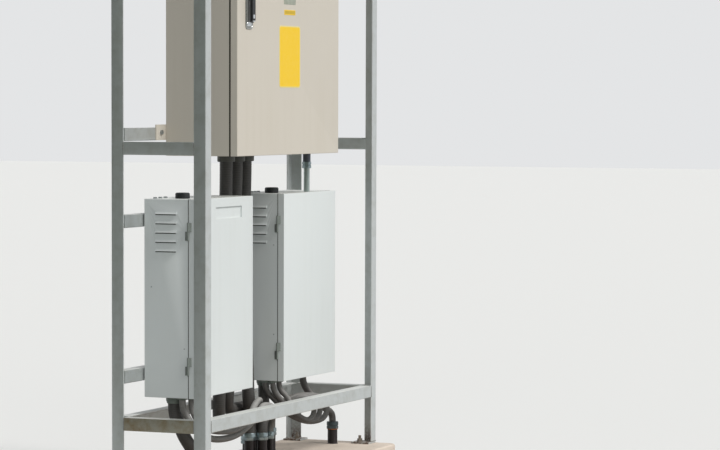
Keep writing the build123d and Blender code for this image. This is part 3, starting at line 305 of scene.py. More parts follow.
# Dark rubber of the door gasket, also used for the strips of painted shade in the seams
RUBBER_AND_SEAM_SHADE = moulded("seal_rubber", "#2B2418", "#3A3222", 0.85)
# Painted shade: a darker copy of the white coat for the hinge knuckles, so that their lit fronts keep the
# tone of the shaded box sides
HINGE_PAINTED_SHADE = powder_coat("hinge_leaf_coat", "#7B827D", "#6F7671", "#8B908B")
# Painted shade: dark finish of the slabs in the louvre mouths and the hinge slots
SHADOW_SLOT = moulded("open_slot_dark", "#4A504C", "#4A504C", 0.9)
BREAKER_GREY = moulded("breaker_moulding", "#5B5E63", "#6B6E72", 0.5)
TERMINAL_GREY = moulded("terminal_polyamide", "#8C9094", "#7A7C7C", 0.5)
YELLOW_FIELD = moulded("yellow_plastic_plate", "#F7CB00", "#E8BE10", 0.42)
PALE_BORDER = moulded("pale_yellow_border", "#E9D98A", "#DCCB7C", 0.45)
OCHRE_TAG = moulded("ochre_plastic_tag", "#C9A81E", "#B99A24", 0.45)
BADGE_METAL = plated_metal("grey_green_badge", "#A9AE9F", "#8F9486", 0.4, 0.3)

NODE_MATERIALS = {
    UPRIGHT_ANGLE: ["post_front_left", "post_front_right", "post_rear_left", "post_rear_right"],
    LONG_ANGLE: ["bottom_rails", "top_rails", "cross_rails"],
    SIDE_ANGLE: ["middle_side_rails", "top_side_rails"],
    DARKER_BROWN_ANGLE: ["bottom_side_rails"],
    BEIGE_COAT: ["cabinet_shell", "cabinet_door", "cabinet_hinges", "cabinet_lugs"],
    WHITE_COAT: ["left_box_shell", "right_box_shell", "left_box_door", "right_box_door"],
    CONCRETE: ["concrete_plinth"],
    ANCHOR_STEEL: ["anchor_bolts"],
    ZINC: ["cabinet_lug_bolts", "box_bolts", "lock_case", "lock_rod_upper", "lock_rod_lower",
           "cabinet_mounting_plate", "cabinet_din_rails", "box_mounting_plates"],
    SATIN_CHROME: ["handle_plate", "handle_spindle", "left_box_lock", "right_box_lock"],
    BLACK_COAT: ["handle_lever"],
    RUBBER_AND_SEAM_SHADE: ["cabinet_gasket"],
    BREAKER_GREY: ["main_breaker", "branch_breakers"],
    CAP_BLACK: ["box_caps", "main_toggle", "branch_toggle_1", "branch_toggle_2"],
    TERMINAL_GREY: ["cabinet_terminals", "box_terminals"],
    GLAND_GREY: ["cabinet_glands"],
    GLAND_PALE: ["box_glands"],
    PIPE_BLACK: ["stub_pipes"],
    BRIGHT_ZINC: ["stub_couplings", "steel_conduit_union"],
    GALVANISED_PIPE: ["steel_conduit"],
    YELLOW_FIELD: ["door_plates"],
}
MATERIAL_OF = {name: material for material, names in NODE_MATERIALS.items() for name in names}
for name, material in MATERIAL_OF.items():
    nodes[name].data.materials.clear()
    nodes[name].data.materials.append(material)


# Finished pieces: a mesh at the origin that rides on a body and may stand for solids
def placed(name, mesh, body, stands_for=()):
    piece = bpy.data.objects.new(name, mesh)
    scene.collection.objects.link(piece)
    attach(piece, body)
    if stands_for:
        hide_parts(*stands_for)
    return piece


def mesh_of(form, name, materials, smooth_under=32.0):
    bmesh.ops.remove_doubles(form, verts=form.verts, dist=1e-6)
    bmesh.ops.recalc_face_normals(form, faces=form.faces)
    mesh = bpy.data.meshes.new(name)
    form.to_mesh(mesh)
    form.free()
    for material in materials:
        mesh.materials.append(material)
    mesh.shade_smooth()
    mesh.set_sharp_from_angle(angle=radians(smooth_under))
    return mesh


# Geometry node trees: start with named inputs, end in plain geometry with its finish
def start_tree(name, sockets):
    tree = bpy.data.node_groups.new(name, "GeometryNodeTree")
    tree.interface.new_socket(name="Geometry", in_out="INPUT", socket_type="NodeSocketGeometry")
    for label, kind in sockets.items():
        tree.interface.new_socket(name=label, in_out="INPUT", socket_type="NodeSocket" + kind)
    tree.interface.new_socket(name="Finish", in_out="INPUT", socket_type="NodeSocketMaterial")
    tree.interface.new_socket(name="Geometry", in_out="OUTPUT", socket_type="NodeSocketGeometry")
    return tree, add(tree, "NodeGroupInput").outputs


def finish_tree(tree, inputs, geometry, smooth):
    real = add(tree, "GeometryNodeRealizeInstances", {"Geometry": geometry}).outputs["Geometry"]
    shaded = add(tree, "GeometryNodeSetShadeSmooth", {"Geometry": real, "Shade Smooth": smooth})
    painted = add(tree, "GeometryNodeSetMaterial", {
        "Geometry": shaded.outputs["Geometry"], "Material": inputs["Finish"]})
    output = add(tree, "NodeGroupOutput")
    tree.links.new(painted.outputs["Geometry"], output.inputs["Geometry"])
    return tree


# Ribbed tube along a line: rings a quarter of a rib apart, each rib a shallow wave
def ribbed_tube_tree():
    tree, inputs = start_tree("ribbed_tube", {"Radius": "Float", "Rib Pitch": "Float", "Rib Depth": "Float",
                                              "Sides": "Int"})
    line = add(tree, "GeometryNodeMeshToCurve", {"Mesh": inputs["Geometry"]}).outputs["Curve"]
    step = math(tree, "DIVIDE", inputs["Rib Pitch"], 4.0)
    even = add(tree, "GeometryNodeResampleCurve", {"Curve": line, "Length": step}, mode="LENGTH")
    quarter = product(tree, add(tree, "GeometryNodeSplineParameter").outputs["Index"], pi / 2)
    wave = math(tree, "SUBTRACT", 1.0, math(tree, "COSINE", quarter, 0.0))
    sink = product(tree, wave, product(tree, inputs["Rib Depth"], 0.5))
    size = math(tree, "SUBTRACT", inputs["Radius"], sink)
    ring = add(tree, "GeometryNodeCurvePrimitiveCircle", {"Resolution": inputs["Sides"], "Radius": 1.0})
    tube = add(tree, "GeometryNodeCurveToMesh", {
        "Curve": even.outputs["Curve"], "Profile Curve": ring.outputs["Curve"], "Scale": size,
        "Fill Caps": True})
    return finish_tree(tree, inputs, tube.outputs["Mesh"], True)


# Heads of small fasteners on given points, all turned one way
def fastener_tree():
    tree, inputs = start_tree("fastener_heads", {"Head Radius": "Float", "Head Height": "Float",
                                                 "Corners": "Int", "Taper": "Float", "Turn": "Vector"})
    spots = add(tree, "GeometryNodeMeshToPoints", {"Mesh": inputs["Geometry"]}).outputs["Points"]
    top = product(tree, inputs["Head Radius"], inputs["Taper"])
    head = add(tree, "GeometryNodeMeshCone", {
        "Vertices": inputs["Corners"], "Radius Top": top, "Radius Bottom": inputs["Head Radius"],
        "Depth": inputs["Head Height"]}).outputs["Mesh"]
    turn = add(tree, "FunctionNodeEulerToRotation", {"Euler": inputs["Turn"]}).outputs["Rotation"]
    heads = add(tree, "GeometryNodeInstanceOnPoints", {"Points": spots, "Instance": head, "Rotation": turn})
    return finish_tree(tree, inputs, heads.outputs["Instances"], False)


# Weld bead along edges: overlapping flat ripples with a little seeded unevenness
def weld_tree():
    tree, inputs = start_tree("weld_bead", {"Bead Radius": "Float", "Ripple": "Float", "Seed": "Int"})
    line = add(tree, "GeometryNodeMeshToCurve", {"Mesh": inputs["Geometry"]}).outputs["Curve"]
    even = add(tree, "GeometryNodeResampleCurve", {"Curve": line, "Length": inputs["Ripple"]}, mode="LENGTH")
    ball = add(tree, "GeometryNodeMeshIcoSphere", {"Radius": inputs["Bead Radius"], "Subdivisions": 2})
    size = add(tree, "FunctionNodeRandomValue", {
        "Min": (0.8, 0.8, 0.8), "Max": (1.15, 1.15, 1.15), "Seed": inputs["Seed"]}, data_type="FLOAT_VECTOR")
    beads = add(tree, "GeometryNodeInstanceOnPoints", {
        "Points": even.outputs["Curve"], "Instance": ball.outputs["Mesh"], "Scale": size.outputs["Value"]})
    return finish_tree(tree, inputs, beads.outputs["Instances"], True)


# Flat dark slabs of painted shade: in the mouths under the pressed louvres and in the slots of the hinges
def mouth_tree():
    tree, inputs = start_tree("louvre_mouths", {"Mouth": "Vector"})
    spots = add(tree, "GeometryNodeMeshToPoints", {"Mesh": inputs["Geometry"]}).outputs["Points"]
    slab = add(tree, "GeometryNodeMeshCube", {"Size": inputs["Mouth"]}).outputs["Mesh"]
    slabs = add(tree, "GeometryNodeInstanceOnPoints", {"Points": spots, "Instance": slab})
    return finish_tree(tree, inputs, slabs.outputs["Instances"], False)


def grown(name, base, tree, **values):
    holder = bpy.data.objects.new(name, base)
    scene.collection.objects.link(holder)
    modifier = holder.modifiers.new("grow", "NODES")
    modifier.node_group = tree
    for item in tree.interface.items_tree:
        key = item.name.lower().replace(" ", "_")
        if item.item_type == "SOCKET" and item.in_out == "INPUT" and key in values:
            modifier[item.identifier] = values[key]
    bpy.context.view_layer.update()
    evaluated = holder.evaluated_get(bpy.context.evaluated_depsgraph_get())
    mesh = bpy.data.meshes.new_from_object(evaluated)
    mesh.name = name
    holder.modifiers.remove(modifier)
    bpy.data.objects.remove(holder)
    return mesh


def point_mesh(points, edges=()):
    mesh = bpy.data.meshes.new("spots")
    mesh.from_pydata([tuple(p) for p in points], list(edges), [])
    return mesh


RIBBED_TUBE = ribbed_tube_tree()
FASTENER_HEADS = fastener_tree()
WELD_BEAD = weld_tree()
SHADE_SLAB_TREE = mouth_tree()

# Flexible conduits: radius, length and the points of each route in metres, from the top end down
CONDUITS = {
    "conduit_cabinet_left": (0.0265, 1.444, [
        (-0.081, 0.115, 1.373), (-0.081, 0.115, 1.29), (-0.088, 0.117, 1.05), (-0.104, 0.123, 0.76),
        (-0.117, 0.127, 0.5), (-0.121, 0.127, 0.42), (-0.112, 0.133, 0.36), (-0.07, 0.15, 0.312),
        (0, 0.168, 0.291), (0.09, 0.176, 0.286), (0.165, 0.176, 0.286), (0.222, 0.174, 0.278),
        (0.251, 0.172, 0.258), (0.251, 0.172, 0.222)]),
    "conduit_cabinet_middle": (0.0265, 1.391, [
        (0.016, 0.115, 1.373), (0.016, 0.115, 1.29), (0, 0.12, 1.05), (-0.016, 0.126, 0.76),
        (-0.027, 0.13, 0.5), (-0.029, 0.131, 0.425), (-0.008, 0.146, 0.378), (0.05, 0.162, 0.352),
        (0.12, 0.163, 0.349), (0.2, 0.162, 0.349), (0.258, 0.157, 0.345), (0.298, 0.15, 0.318),
        (0.308, 0.148, 0.284), (0.308, 0.148, 0.248)]),
    "conduit_cabinet_right": (0.0265, 1.137, [
        (0.104, 0.115, 1.373), (0.104, 0.115, 1.29), (0.088, 0.118, 1.05), (0.088, 0.11, 0.76),
        (0.097, 0.1, 0.5), (0.098, 0.099, 0.425), (0.112, 0.099, 0.362), (0.142, 0.112, 0.305),
        (0.151, 0.117, 0.284), (0.151, 0.117, 0.248)]),
    "conduit_left_box": (0.026, 0.282, [
        (-0.615, 0.087, 0.44), (-0.615, 0.087, 0.4), (-0.608, 0.076, 0.374), (-0.59, 0.06, 0.31),
        (-0.551, 0.046, 0.261), (-0.52, 0.042, 0.225), (-0.52, 0.042, 0.19)]),
    "conduit_left_box_thin_back": (0.0135, 1.091, [
        (-0.64, 0.04, 0.4565), (-0.64, 0.04, 0.425), (-0.62, 0.03, 0.388), (-0.609, 0.005, 0.345),
        (-0.576, -0.018, 0.312), (-0.527, -0.038, 0.294), (-0.434, -0.046, 0.287), (-0.331, -0.046, 0.291),
        (-0.219, -0.038, 0.308), (-0.109, -0.023, 0.333), (0, 0, 0.361), (0.073, 0.02, 0.374),
        (0.175, 0.024, 0.362), (0.214, 0.034, 0.322), (0.244, 0.064, 0.276), (0.244, 0.064, 0.248)]),
    "conduit_left_box_thin_front": (0.0135, 1.048, [
        (-0.611, 0.015, 0.4565), (-0.611, 0.015, 0.425), (-0.606, -0.002, 0.381), (-0.575, -0.022, 0.347),
        (-0.54, -0.044, 0.329), (-0.468, -0.062, 0.321), (-0.383, -0.066, 0.319), (-0.277, -0.056, 0.328),
        (-0.141, -0.022, 0.354), (-0.024, 0.014, 0.381), (0.07, 0.042, 0.392), (0.132, 0.058, 0.388),
        (0.168, 0.086, 0.358), (0.194, 0.118, 0.314), (0.204, 0.125, 0.276), (0.204, 0.125, 0.248)]),
    "conduit_right_box_wide": (0.023, 0.204, [
        (0.235, 0.091, 0.44), (0.235, 0.091, 0.39), (0.224, 0.08, 0.34), (0.196, 0.074, 0.296),
        (0.187, 0.076, 0.279), (0.187, 0.076, 0.248)]),
    "conduit_right_box_coil_back": (0.012, 0.98, [
        (0.178, 0.058, 0.4565), (0.178, 0.058, 0.425), (0.223, 0.031, 0.379), (0.268, 0.008, 0.332),
        (0.325, -0.012, 0.299), (0.433, -0.024, 0.272), (0.54, -0.034, 0.27), (0.592, -0.037, 0.286),
        (0.614, -0.034, 0.318), (0.604, -0.027, 0.35), (0.566, -0.014, 0.37), (0.492, 0.002, 0.381),
        (0.42, 0.022, 0.384), (0.366, 0.05, 0.37), (0.352, 0.082, 0.338), (0.36, 0.104, 0.303),
        (0.373, 0.112, 0.276), (0.373, 0.112, 0.248)]),
    "conduit_right_box_coil_middle": (0.012, 0.789, [
        (0.176, 0.022, 0.4565), (0.176, 0.022, 0.425), (0.219, 0.002, 0.381), (0.257, -0.024, 0.335),
        (0.318, -0.038, 0.3), (0.4, -0.048, 0.278), (0.448, -0.055, 0.284), (0.482, -0.058, 0.306),
        (0.49, -0.054, 0.338), (0.472, -0.046, 0.364), (0.43, -0.034, 0.38), (0.376, -0.01, 0.388),
        (0.326, 0.025, 0.374), (0.308, 0.06, 0.34), (0.3, 0.088, 0.302), (0.293, 0.101, 0.276),
        (0.293, 0.101, 0.248)]),
    "conduit_right_box_coil_front": (0.012, 0.633, [
        (0.219, 0.014, 0.4565), (0.219, 0.014, 0.428), (0.232, -0.024, 0.39), (0.218, -0.046, 0.347),
        (0.254, -0.062, 0.314), (0.303, -0.074, 0.293), (0.338, -0.081, 0.298), (0.362, -0.084, 0.32),
        (0.364, -0.08, 0.35), (0.35, -0.07, 0.376), (0.324, -0.05, 0.39), (0.304, -0.02, 0.382),
        (0.292, 0.014, 0.354), (0.278, 0.05, 0.322), (0.264, 0.086, 0.294), (0.25, 0.113, 0.276),
        (0.25, 0.113, 0.248)]),
    "conduit_right_box_feed": (0.015, 0.327, [
        (0.523, 0.04, 0.4565), (0.523, 0.04, 0.428), (0.566, 0.031, 0.383), (0.622, 0.019, 0.34),
        (0.676, 0.008, 0.31), (0.716, 0, 0.293), (0.742, -0.004, 0.273), (0.742, -0.004, 0.245)]),
}


def conduit_line(name, points):
    data = bpy.data.curves.new(name, "CURVE")
    data.dimensions = "3D"
    data.resolution_u = 12
    spline = data.splines.new("NURBS")
    spline.points.add(len(points) - 1)
    for target, place in zip(spline.points, points):
        target.co = (*place, 1.0)
    spline.order_u = 3
    spline.use_endpoint_u = True
    holder = bpy.data.objects.new(name, data)
    scene.collection.objects.link(holder)
    bpy.context.view_layer.update()
    mesh = bpy.data.meshes.new_from_object(holder.evaluated_get(bpy.context.evaluated_depsgraph_get()))
    bpy.data.objects.remove(holder)
    return mesh


PALE_RUNS = ("conduit_left_box_thin_front", "conduit_left_box_thin_back")
RIB_PITCH_THICK = 7.0 * MM
RIB_PITCH_THIN = 5.0 * MM
RIB_DEPTH = 0.7 * MM
THICK_FROM = 20.0 * MM
THICK_SIDES = 24
THIN_SIDES = 16

for name, (radius, length, points) in CONDUITS.items():
    line = conduit_line(name + "_line", points)
    thick = radius > THICK_FROM
    if name in PALE_RUNS:
        finish = SHEATH_PALE
    else:
        finish = SHEATH_DARK if thick else SHEATH_COIL
    sheath = grown(name + "_sheath", line, RIBBED_TUBE, radius=radius, rib_depth=RIB_DEPTH, finish=finish,
                   rib_pitch=RIB_PITCH_THICK if thick else RIB_PITCH_THIN,
                   sides=THICK_SIDES if thick else THIN_SIDES)
    piece = placed(name + "_sheath", sheath, "stand", [name])


BOX_HIGH = 1240.0 * MM
BOX_SEAM = -10.0 * MM
BOX_WALLS = {"left": (-689.0 * MM, -153.0 * MM), "right": (153.0 * MM, 689.0 * MM)}
HINGE_ZS = (588.0 * MM, 1115.0 * MM)
LOUVRE_Y = 88.5 * MM
TOP_LOUVRE_DOWN = 49.0
LOUVRE_STEP = 36.0
LOUVRE_COUNT = 5
LOUVRE_TOPS = [BOX_HIGH - (TOP_LOUVRE_DOWN + LOUVRE_STEP * i) * MM for i in range(LOUVRE_COUNT)]
HOOD_DROP = 20.0 * MM
HOOD_RISE = 2.0 * MM
HOOD_SHARE = 0.55
HOOD_OUT = 12.0 * MM
HOOD_HALF_WIDTH = 60.0 * MM
HOOD_SLACK_ABOVE = 0.5 * MM
HOOD_SLACK_BELOW = 1.5 * MM


# Louvre hoods drawn in to the steep short slope that catches the light above each mouth
def steep_hoods(form, walls):
    for vertex in form.verts:
        near_wall = any(abs(vertex.co.x - x) < HOOD_OUT for x in walls)
        on_hood = near_wall and abs(vertex.co.y - LOUVRE_Y) < HOOD_HALF_WIDTH
        for top in LOUVRE_TOPS:
            down = top - vertex.co.z
            if on_hood and -HOOD_SLACK_ABOVE < down < HOOD_DROP + HOOD_SLACK_BELOW:
                vertex.co.z = top + HOOD_RISE - down * HOOD_SHARE
                break


MERGE_WITHIN = 0.03 * MM
FLAT_WITHIN = radians(0.6)
ROUND_FROM = radians(40)
SMOOTH_UNDER = radians(22)
ON_PLANE = 0.1 * MM
HINGE_HALF_HEIGHT = 60.0 * MM
HINGE_HALF_DEPTH = 25.0 * MM
KNUCKLE_OUT = 0.4 * MM


# Copies of solids with their triangles merged and their long edges rounded, in place of the bare solids.
# The hinge knuckles of a box get their own finish, a painted shade darker than the box to match its shaded
# sides; the right one of a pair with a second finish gets that second finish.
def dressed(node, edge, outer_only, shortest, second=None):
    form = bmesh.new()
    form.from_mesh(nodes[node].data)
    bmesh.ops.remove_doubles(form, verts=form.verts, dist=MERGE_WITHIN)
    bmesh.ops.dissolve_limit(form, angle_limit=FLAT_WITHIN, verts=form.verts, edges=form.edges)
    low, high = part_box(node)
    walls = BOX_WALLS.get(node.split("_box_")[0])
    if walls:
        low.x, high.x = walls
        steep_hoods(form, walls)

    def on_outline(side):
        faces = 0
        for axis in range(3):
            for plane in (low[axis], high[axis]):
                faces += all(abs(v.co[axis] - plane) < ON_PLANE for v in side.verts)
        return faces > 1

    chosen = [side for side in form.edges
              if len(side.link_faces) == 2 and side.calc_face_angle(0.0) > ROUND_FROM
              and side.calc_length() > shortest and (not outer_only or on_outline(side))]
    if chosen:
        bmesh.ops.bevel(form, geom=chosen, offset=edge, offset_type="OFFSET", segments=2, profile=0.6,
                        affect="EDGES", clamp_overlap=True)
    for face in form.faces:
        middle = face.calc_center_median()
        if walls:
            # Knuckle faces beyond the box side get the finish of painted shade
            at_hinge = (abs(middle.y - BOX_SEAM) < HINGE_HALF_DEPTH
                        and any(abs(middle.z - z) < HINGE_HALF_HEIGHT for z in HINGE_ZS))
            face.material_index = int(at_hinge and middle.x < walls[0] - KNUCKLE_OUT)
        elif second:
            face.material_index = int(middle.x > 0)
    mesh = bpy.data.meshes.new(node + "_finished")
    form.to_mesh(mesh)
    form.free()
    mesh.materials.append(MATERIAL_OF[node])
    if walls or second:
        mesh.materials.append(second or HINGE_PAINTED_SHADE)
    mesh.shade_smooth()
    mesh.set_sharp_from_angle(angle=SMOOTH_UNDER)
    return placed(node + "_finished", mesh, BODIES[node], [node])


ANGLE_EDGE = 1.2 * MM
FOLD_RADIUS = 2.4 * MM
SLIGHT_EDGE = ANGLE_EDGE / 2
ANGLE_EDGES_FROM = 30.0 * MM
FOLDS_FROM = 60.0 * MM
LARGE_EDGES_FROM = 500.0 * MM
for node in ("post_front_left", "post_front_right", "post_rear_left", "post_rear_right", "bottom_rails",
             "middle_side_rails", "top_rails", "top_side_rails", "cross_rails"):
    dressed(node, ANGLE_EDGE, False, ANGLE_EDGES_FROM)
dressed("bottom_side_rails", ANGLE_EDGE, False, ANGLE_EDGES_FROM, SIDE_ANGLE)
for node in ("cabinet_shell", "cabinet_door", "left_box_shell", "right_box_shell", "left_box_door",
             "right_box_door"):
    dressed(node, FOLD_RADIUS, True, FOLDS_FROM)
for node in ("cabinet_lugs", "steel_conduit", "concrete_plinth"):
    dressed(node, SLIGHT_EDGE, True, LARGE_EDGES_FROM)


# Turned pieces: a profile of (radius, height) pairs, with a flute depth where there is a third number
def turned(form, spot, profile, sides=32, material=0):
    rings = []
    for step in profile:
        radius, height = step[0], step[1]
        flute = step[2] if len(step) > 2 else 0.0
        ring = []
        for i in range(sides):
            angle = 2 * pi * i / sides
            reach = radius - flute * (i % 2)
            ring.append(form.verts.new((spot[0] + reach * cos(angle), spot[1] + reach * sin(angle), height)))
        rings.append(ring)
    for lower, upper in zip(rings, rings[1:]):
        for i in range(sides):
            j = (i + 1) % sides
            form.faces.new((lower[i], lower[j], upper[j], upper[i])).material_index = material
    form.faces.new(rings[0][::-1]).material_index = material
    form.faces.new(rings[-1]).material_index = material


DECK = 150.0 * MM
CABINET_LOW = 1404.0 * MM
BOX_LOW = 467.0 * MM
SHEET = 2.0 * MM
NECK = 8.0 * MM
COUPLING_HEIGHT = 31.0 * MM
THICK_PIPE = 21.0 * MM
THIN_PIPE = 12.5 * MM
THIN_UP_TO = 14.0 * MM
FEED = "conduit_right_box_feed"
ZINC_FINISH, DARK_FINISH, ORANGE_FINISH = range(3)

cabinet_collars = bmesh.new()
box_collars = bmesh.new()
clamps = bmesh.new()
stubs = bmesh.new()
for name, (radius, _, points) in CONDUITS.items():
    spot, low = points[0][:2], points[0][2]
    cabinet_end = name.startswith("conduit_cabinet")
    form = cabinet_collars if cabinet_end else box_collars
    top = CABINET_LOW if cabinet_end else BOX_LOW
    core = radius - 1.5 * MM
    start = low + 0.3 * MM
    # Collar, cone or nut under the sheet
    if cabinet_end:
        rim = radius + 9.5 * MM
        turned(form, spot, [
            (core, start), (rim - 3 * MM, start), (rim - 0.8 * MM, low + 2 * MM),
            (rim, low + 3.5 * MM, 0.9 * MM), (rim, top - 8.5 * MM, 0.9 * MM),
            (rim - 1.2 * MM, top - 6.2 * MM), (radius + 1 * MM, top - 6 * MM), (radius + 1 * MM, top)], 48)
    elif radius > THICK_FROM:
        rim = radius + 7 * MM
        turned(form, spot, [
            (core, start), (radius + 2.5 * MM, start), (radius + 3.5 * MM, low + 2 * MM),
            (radius + 4.5 * MM, low + 8 * MM), (rim - 1 * MM, low + 9.5 * MM),
            (rim, low + 11.5 * MM, 0.8 * MM), (rim, top - 4 * MM, 0.8 * MM), (rim - 1.5 * MM, top)], 40)
    else:
        turned(form, spot, [
            (core, start), (radius + 3.6 * MM, start), (radius + 5 * MM, low + 2 * MM),
            (radius + 5 * MM, top - 1.2 * MM), (radius + 4 * MM, top)], 6)
    # Locknut above the sheet
    nut = (radius + 2.5 * MM) / cos(pi / 6)
    turned(form, spot, [(core, top + SHEET), (nut, top + SHEET), (nut, top + SHEET + NECK - 1.2 * MM),
                        (nut - 1.8 * MM, top + SHEET + NECK), (core, top + SHEET + NECK)], 6)
    # Clamp coupling on the stub: a hexagon nut below a waist, and a round sleeve above it
    foot, high = points[-1][:2], points[-1][2]
    pipe = THIN_PIPE if radius < THIN_UP_TO else THICK_PIPE
    ring = max(radius + 1.5 * MM, pipe + 4 * MM)
    under = high - COUPLING_HEIGHT
    bore, waist, groove = pipe - 1 * MM, under + 13 * MM, ring - 2.2 * MM
    finish = DARK_FINISH if name == FEED else ZINC_FINISH
    turned(clamps, foot, [
        (bore, under), (ring - 1 * MM, under), (ring, under + 1.5 * MM), (ring, under + 11.5 * MM),
        (ring - 1.5 * MM, waist), (bore, waist)], 6, finish)
    turned(clamps, foot, [
        (bore, waist), (groove, waist), (groove, under + 15 * MM), (ring, under + 16.2 * MM),
        (ring, high - 4 * MM), (ring - 0.8 * MM, high - 1.5 * MM), (ring - 1.4 * MM, high),
        (radius, high)], 32, finish)
    # Orange seal under the feed's coupling, and the stub pipe that flares at the deck
    if name == FEED:
        turned(clamps, foot, [(pipe, under - 2.5 * MM), (pipe + 1.8 * MM, under - 2 * MM),
                              (pipe + 2.4 * MM, under - 0.5 * MM), (pipe + 1.5 * MM, under + 0.5 * MM),
                              (pipe, under + 0.5 * MM)], 32, ORANGE_FINISH)
    turned(stubs, foot, [
        (pipe + 2.5 * MM, DECK), (pipe + 2.2 * MM, DECK + 2 * MM), (pipe + 0.3 * MM, DECK + 3.5 * MM),
        (pipe, DECK + 5 * MM), (pipe, under + 1 * MM)], 32)

placed("cabinet_collars", mesh_of(cabinet_collars, "cabinet_collars", [GLAND_GREY]),
       "stand", ["cabinet_glands"])
placed("box_collars", mesh_of(box_collars, "box_collars", [GLAND_PALE]),
       "stand", ["box_glands"])
placed("stub_clamps", mesh_of(clamps, "stub_clamps", [BRIGHT_ZINC, CLAMP_DARK, ORANGE_RING]),
       "stand", ["stub_couplings"])
placed("stub_tubes", mesh_of(stubs, "stub_tubes", [PIPE_BLACK]), "stand", ["stub_pipes"])

# Union and nipple of the steel conduit
STEEL_SPOT = (480.0 * MM, 5.0 * MM)
UNION_LOW = 1338.0 * MM
UNION_HIGH = 1366.0 * MM
UNION_RIM = 20.5 * MM
UNION_WAIST = 18.6 * MM
union = bmesh.new()
turned(union, STEEL_SPOT, [
    (13 * MM, UNION_LOW), (18 * MM, UNION_LOW), (UNION_RIM, UNION_LOW + 2 * MM),
    (UNION_RIM, UNION_LOW + 12 * MM), (UNION_WAIST, UNION_LOW + 13 * MM),
    (UNION_WAIST, UNION_LOW + 16 * MM), (UNION_RIM, UNION_LOW + 17 * MM),
    (UNION_RIM, UNION_HIGH - 2 * MM), (18 * MM, UNION_HIGH), (14 * MM, UNION_HIGH)], 8)
turned(union, STEEL_SPOT, [
    (14 * MM, UNION_HIGH), (16.5 * MM, UNION_HIGH), (16.5 * MM, CABINET_LOW - 3 * MM),
    (15.8 * MM, CABINET_LOW), (12.5 * MM, CABINET_LOW), (12.5 * MM, CABINET_LOW + SHEET + NECK)], 32, 1)
placed("conduit_union", mesh_of(union, "conduit_union", [BRIGHT_ZINC, DULL_NIPPLE]),
       "stand", ["steel_conduit_union"])

# Rubber vent caps on the boxes
CAP_RADIUS = 28.5 * MM
CAP_PLACES = ((-597.0 * MM, 60.0 * MM), (245.0 * MM, 60.0 * MM))
caps = bmesh.new()
for place in CAP_PLACES:
    turned(caps, place, [
        (17 * MM, BOX_HIGH - 9 * MM), (17 * MM, BOX_HIGH + 0.2 * MM),
        (CAP_RADIUS - 1.5 * MM, BOX_HIGH + 0.2 * MM),
        (CAP_RADIUS, BOX_HIGH + 2 * MM, 0.5 * MM), (CAP_RADIUS, BOX_HIGH + 17 * MM, 0.5 * MM),
        (CAP_RADIUS - 1 * MM, BOX_HIGH + 20.5 * MM), (CAP_RADIUS - 3.5 * MM, BOX_HIGH + 22.5 * MM),
        (CAP_RADIUS - 6 * MM, BOX_HIGH + 23 * MM), (CAP_RADIUS - 8.5 * MM, BOX_HIGH + 22.3 * MM)], 56)
placed("vent_caps", mesh_of(caps, "vent_caps", [CAP_BLACK]), "stand", ["box_caps"])


# Dark strip of painted shade in the seam round a body, a frame of four sides proud of the sheet
def seam_shade_strip(form, low, high, front, back, proud, inside):
    corners = []
    for x, z, out_x, out_z in ((low.x, low.z, -1, -1), (high.x, low.z, 1, -1), (high.x, high.z, 1, 1),
                               (low.x, high.z, -1, 1)):
        outer = (x + out_x * proud, z + out_z * proud)
        inner = (x - out_x * inside, z - out_z * inside)
        corners.append([form.verts.new((place[0], depth, place[1]))
                        for place, depth in ((outer, front), (outer, back), (inner, back), (inner, front))])
    for i in range(4):
        here, there = corners[i], corners[(i + 1) % 4]
        for k in range(4):
            form.faces.new((here[k], here[(k + 1) % 4], there[(k + 1) % 4], there[k]))


CABINET_SEAM = -100.0 * MM
# Painted shade in the seams of the cabinet and both boxes
shade_strips = bmesh.new()
seam_shade_strip(shade_strips, *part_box("cabinet_shell"), CABINET_SEAM - 0.5 * MM, CABINET_SEAM + 5.5 * MM,
          0.5 * MM, 1.0 * MM)
for node in ("left_box_shell", "right_box_shell"):
    low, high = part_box(node)
    low.x, high.x = BOX_WALLS[node.split("_box_")[0]]
    seam_shade_strip(shade_strips, low, high, BOX_SEAM - 0.4 * MM, BOX_SEAM + 1.8 * MM, 0.3 * MM, 1.0 * MM)
placed("seam_seals", mesh_of(shade_strips, "seam_seals", [RUBBER_AND_SEAM_SHADE]), "stand")

# Painted shade in the open mouths under the louvres and in the long slots of the hinges beside the box seams,
# as dark slabs
MOUTH = (0.8 * MM, 88.0 * MM, 4.4 * MM)
MOUTH_DOWN = 2.2 * MM
SLOT = (0.8 * MM, 4.5 * MM, 72.0 * MM)
SLOT_BACK = 1.5 * MM
mouth_spots = [(x, LOUVRE_Y, top + HOOD_RISE - HOOD_DROP * HOOD_SHARE - MOUTH_DOWN)
               for walls in BOX_WALLS.values() for x in walls for top in LOUVRE_TOPS]
slot_spots = [(walls[0], BOX_SEAM + SLOT_BACK, z) for walls in BOX_WALLS.values() for z in HINGE_ZS]
for name, spots, size in (("louvre_mouths", mouth_spots, MOUTH), ("hinge_slots", slot_spots, SLOT)):
    placed(name, grown(name, point_mesh(spots), SHADE_SLAB_TREE, mouth=size, finish=SHADOW_SLOT),
           "stand")


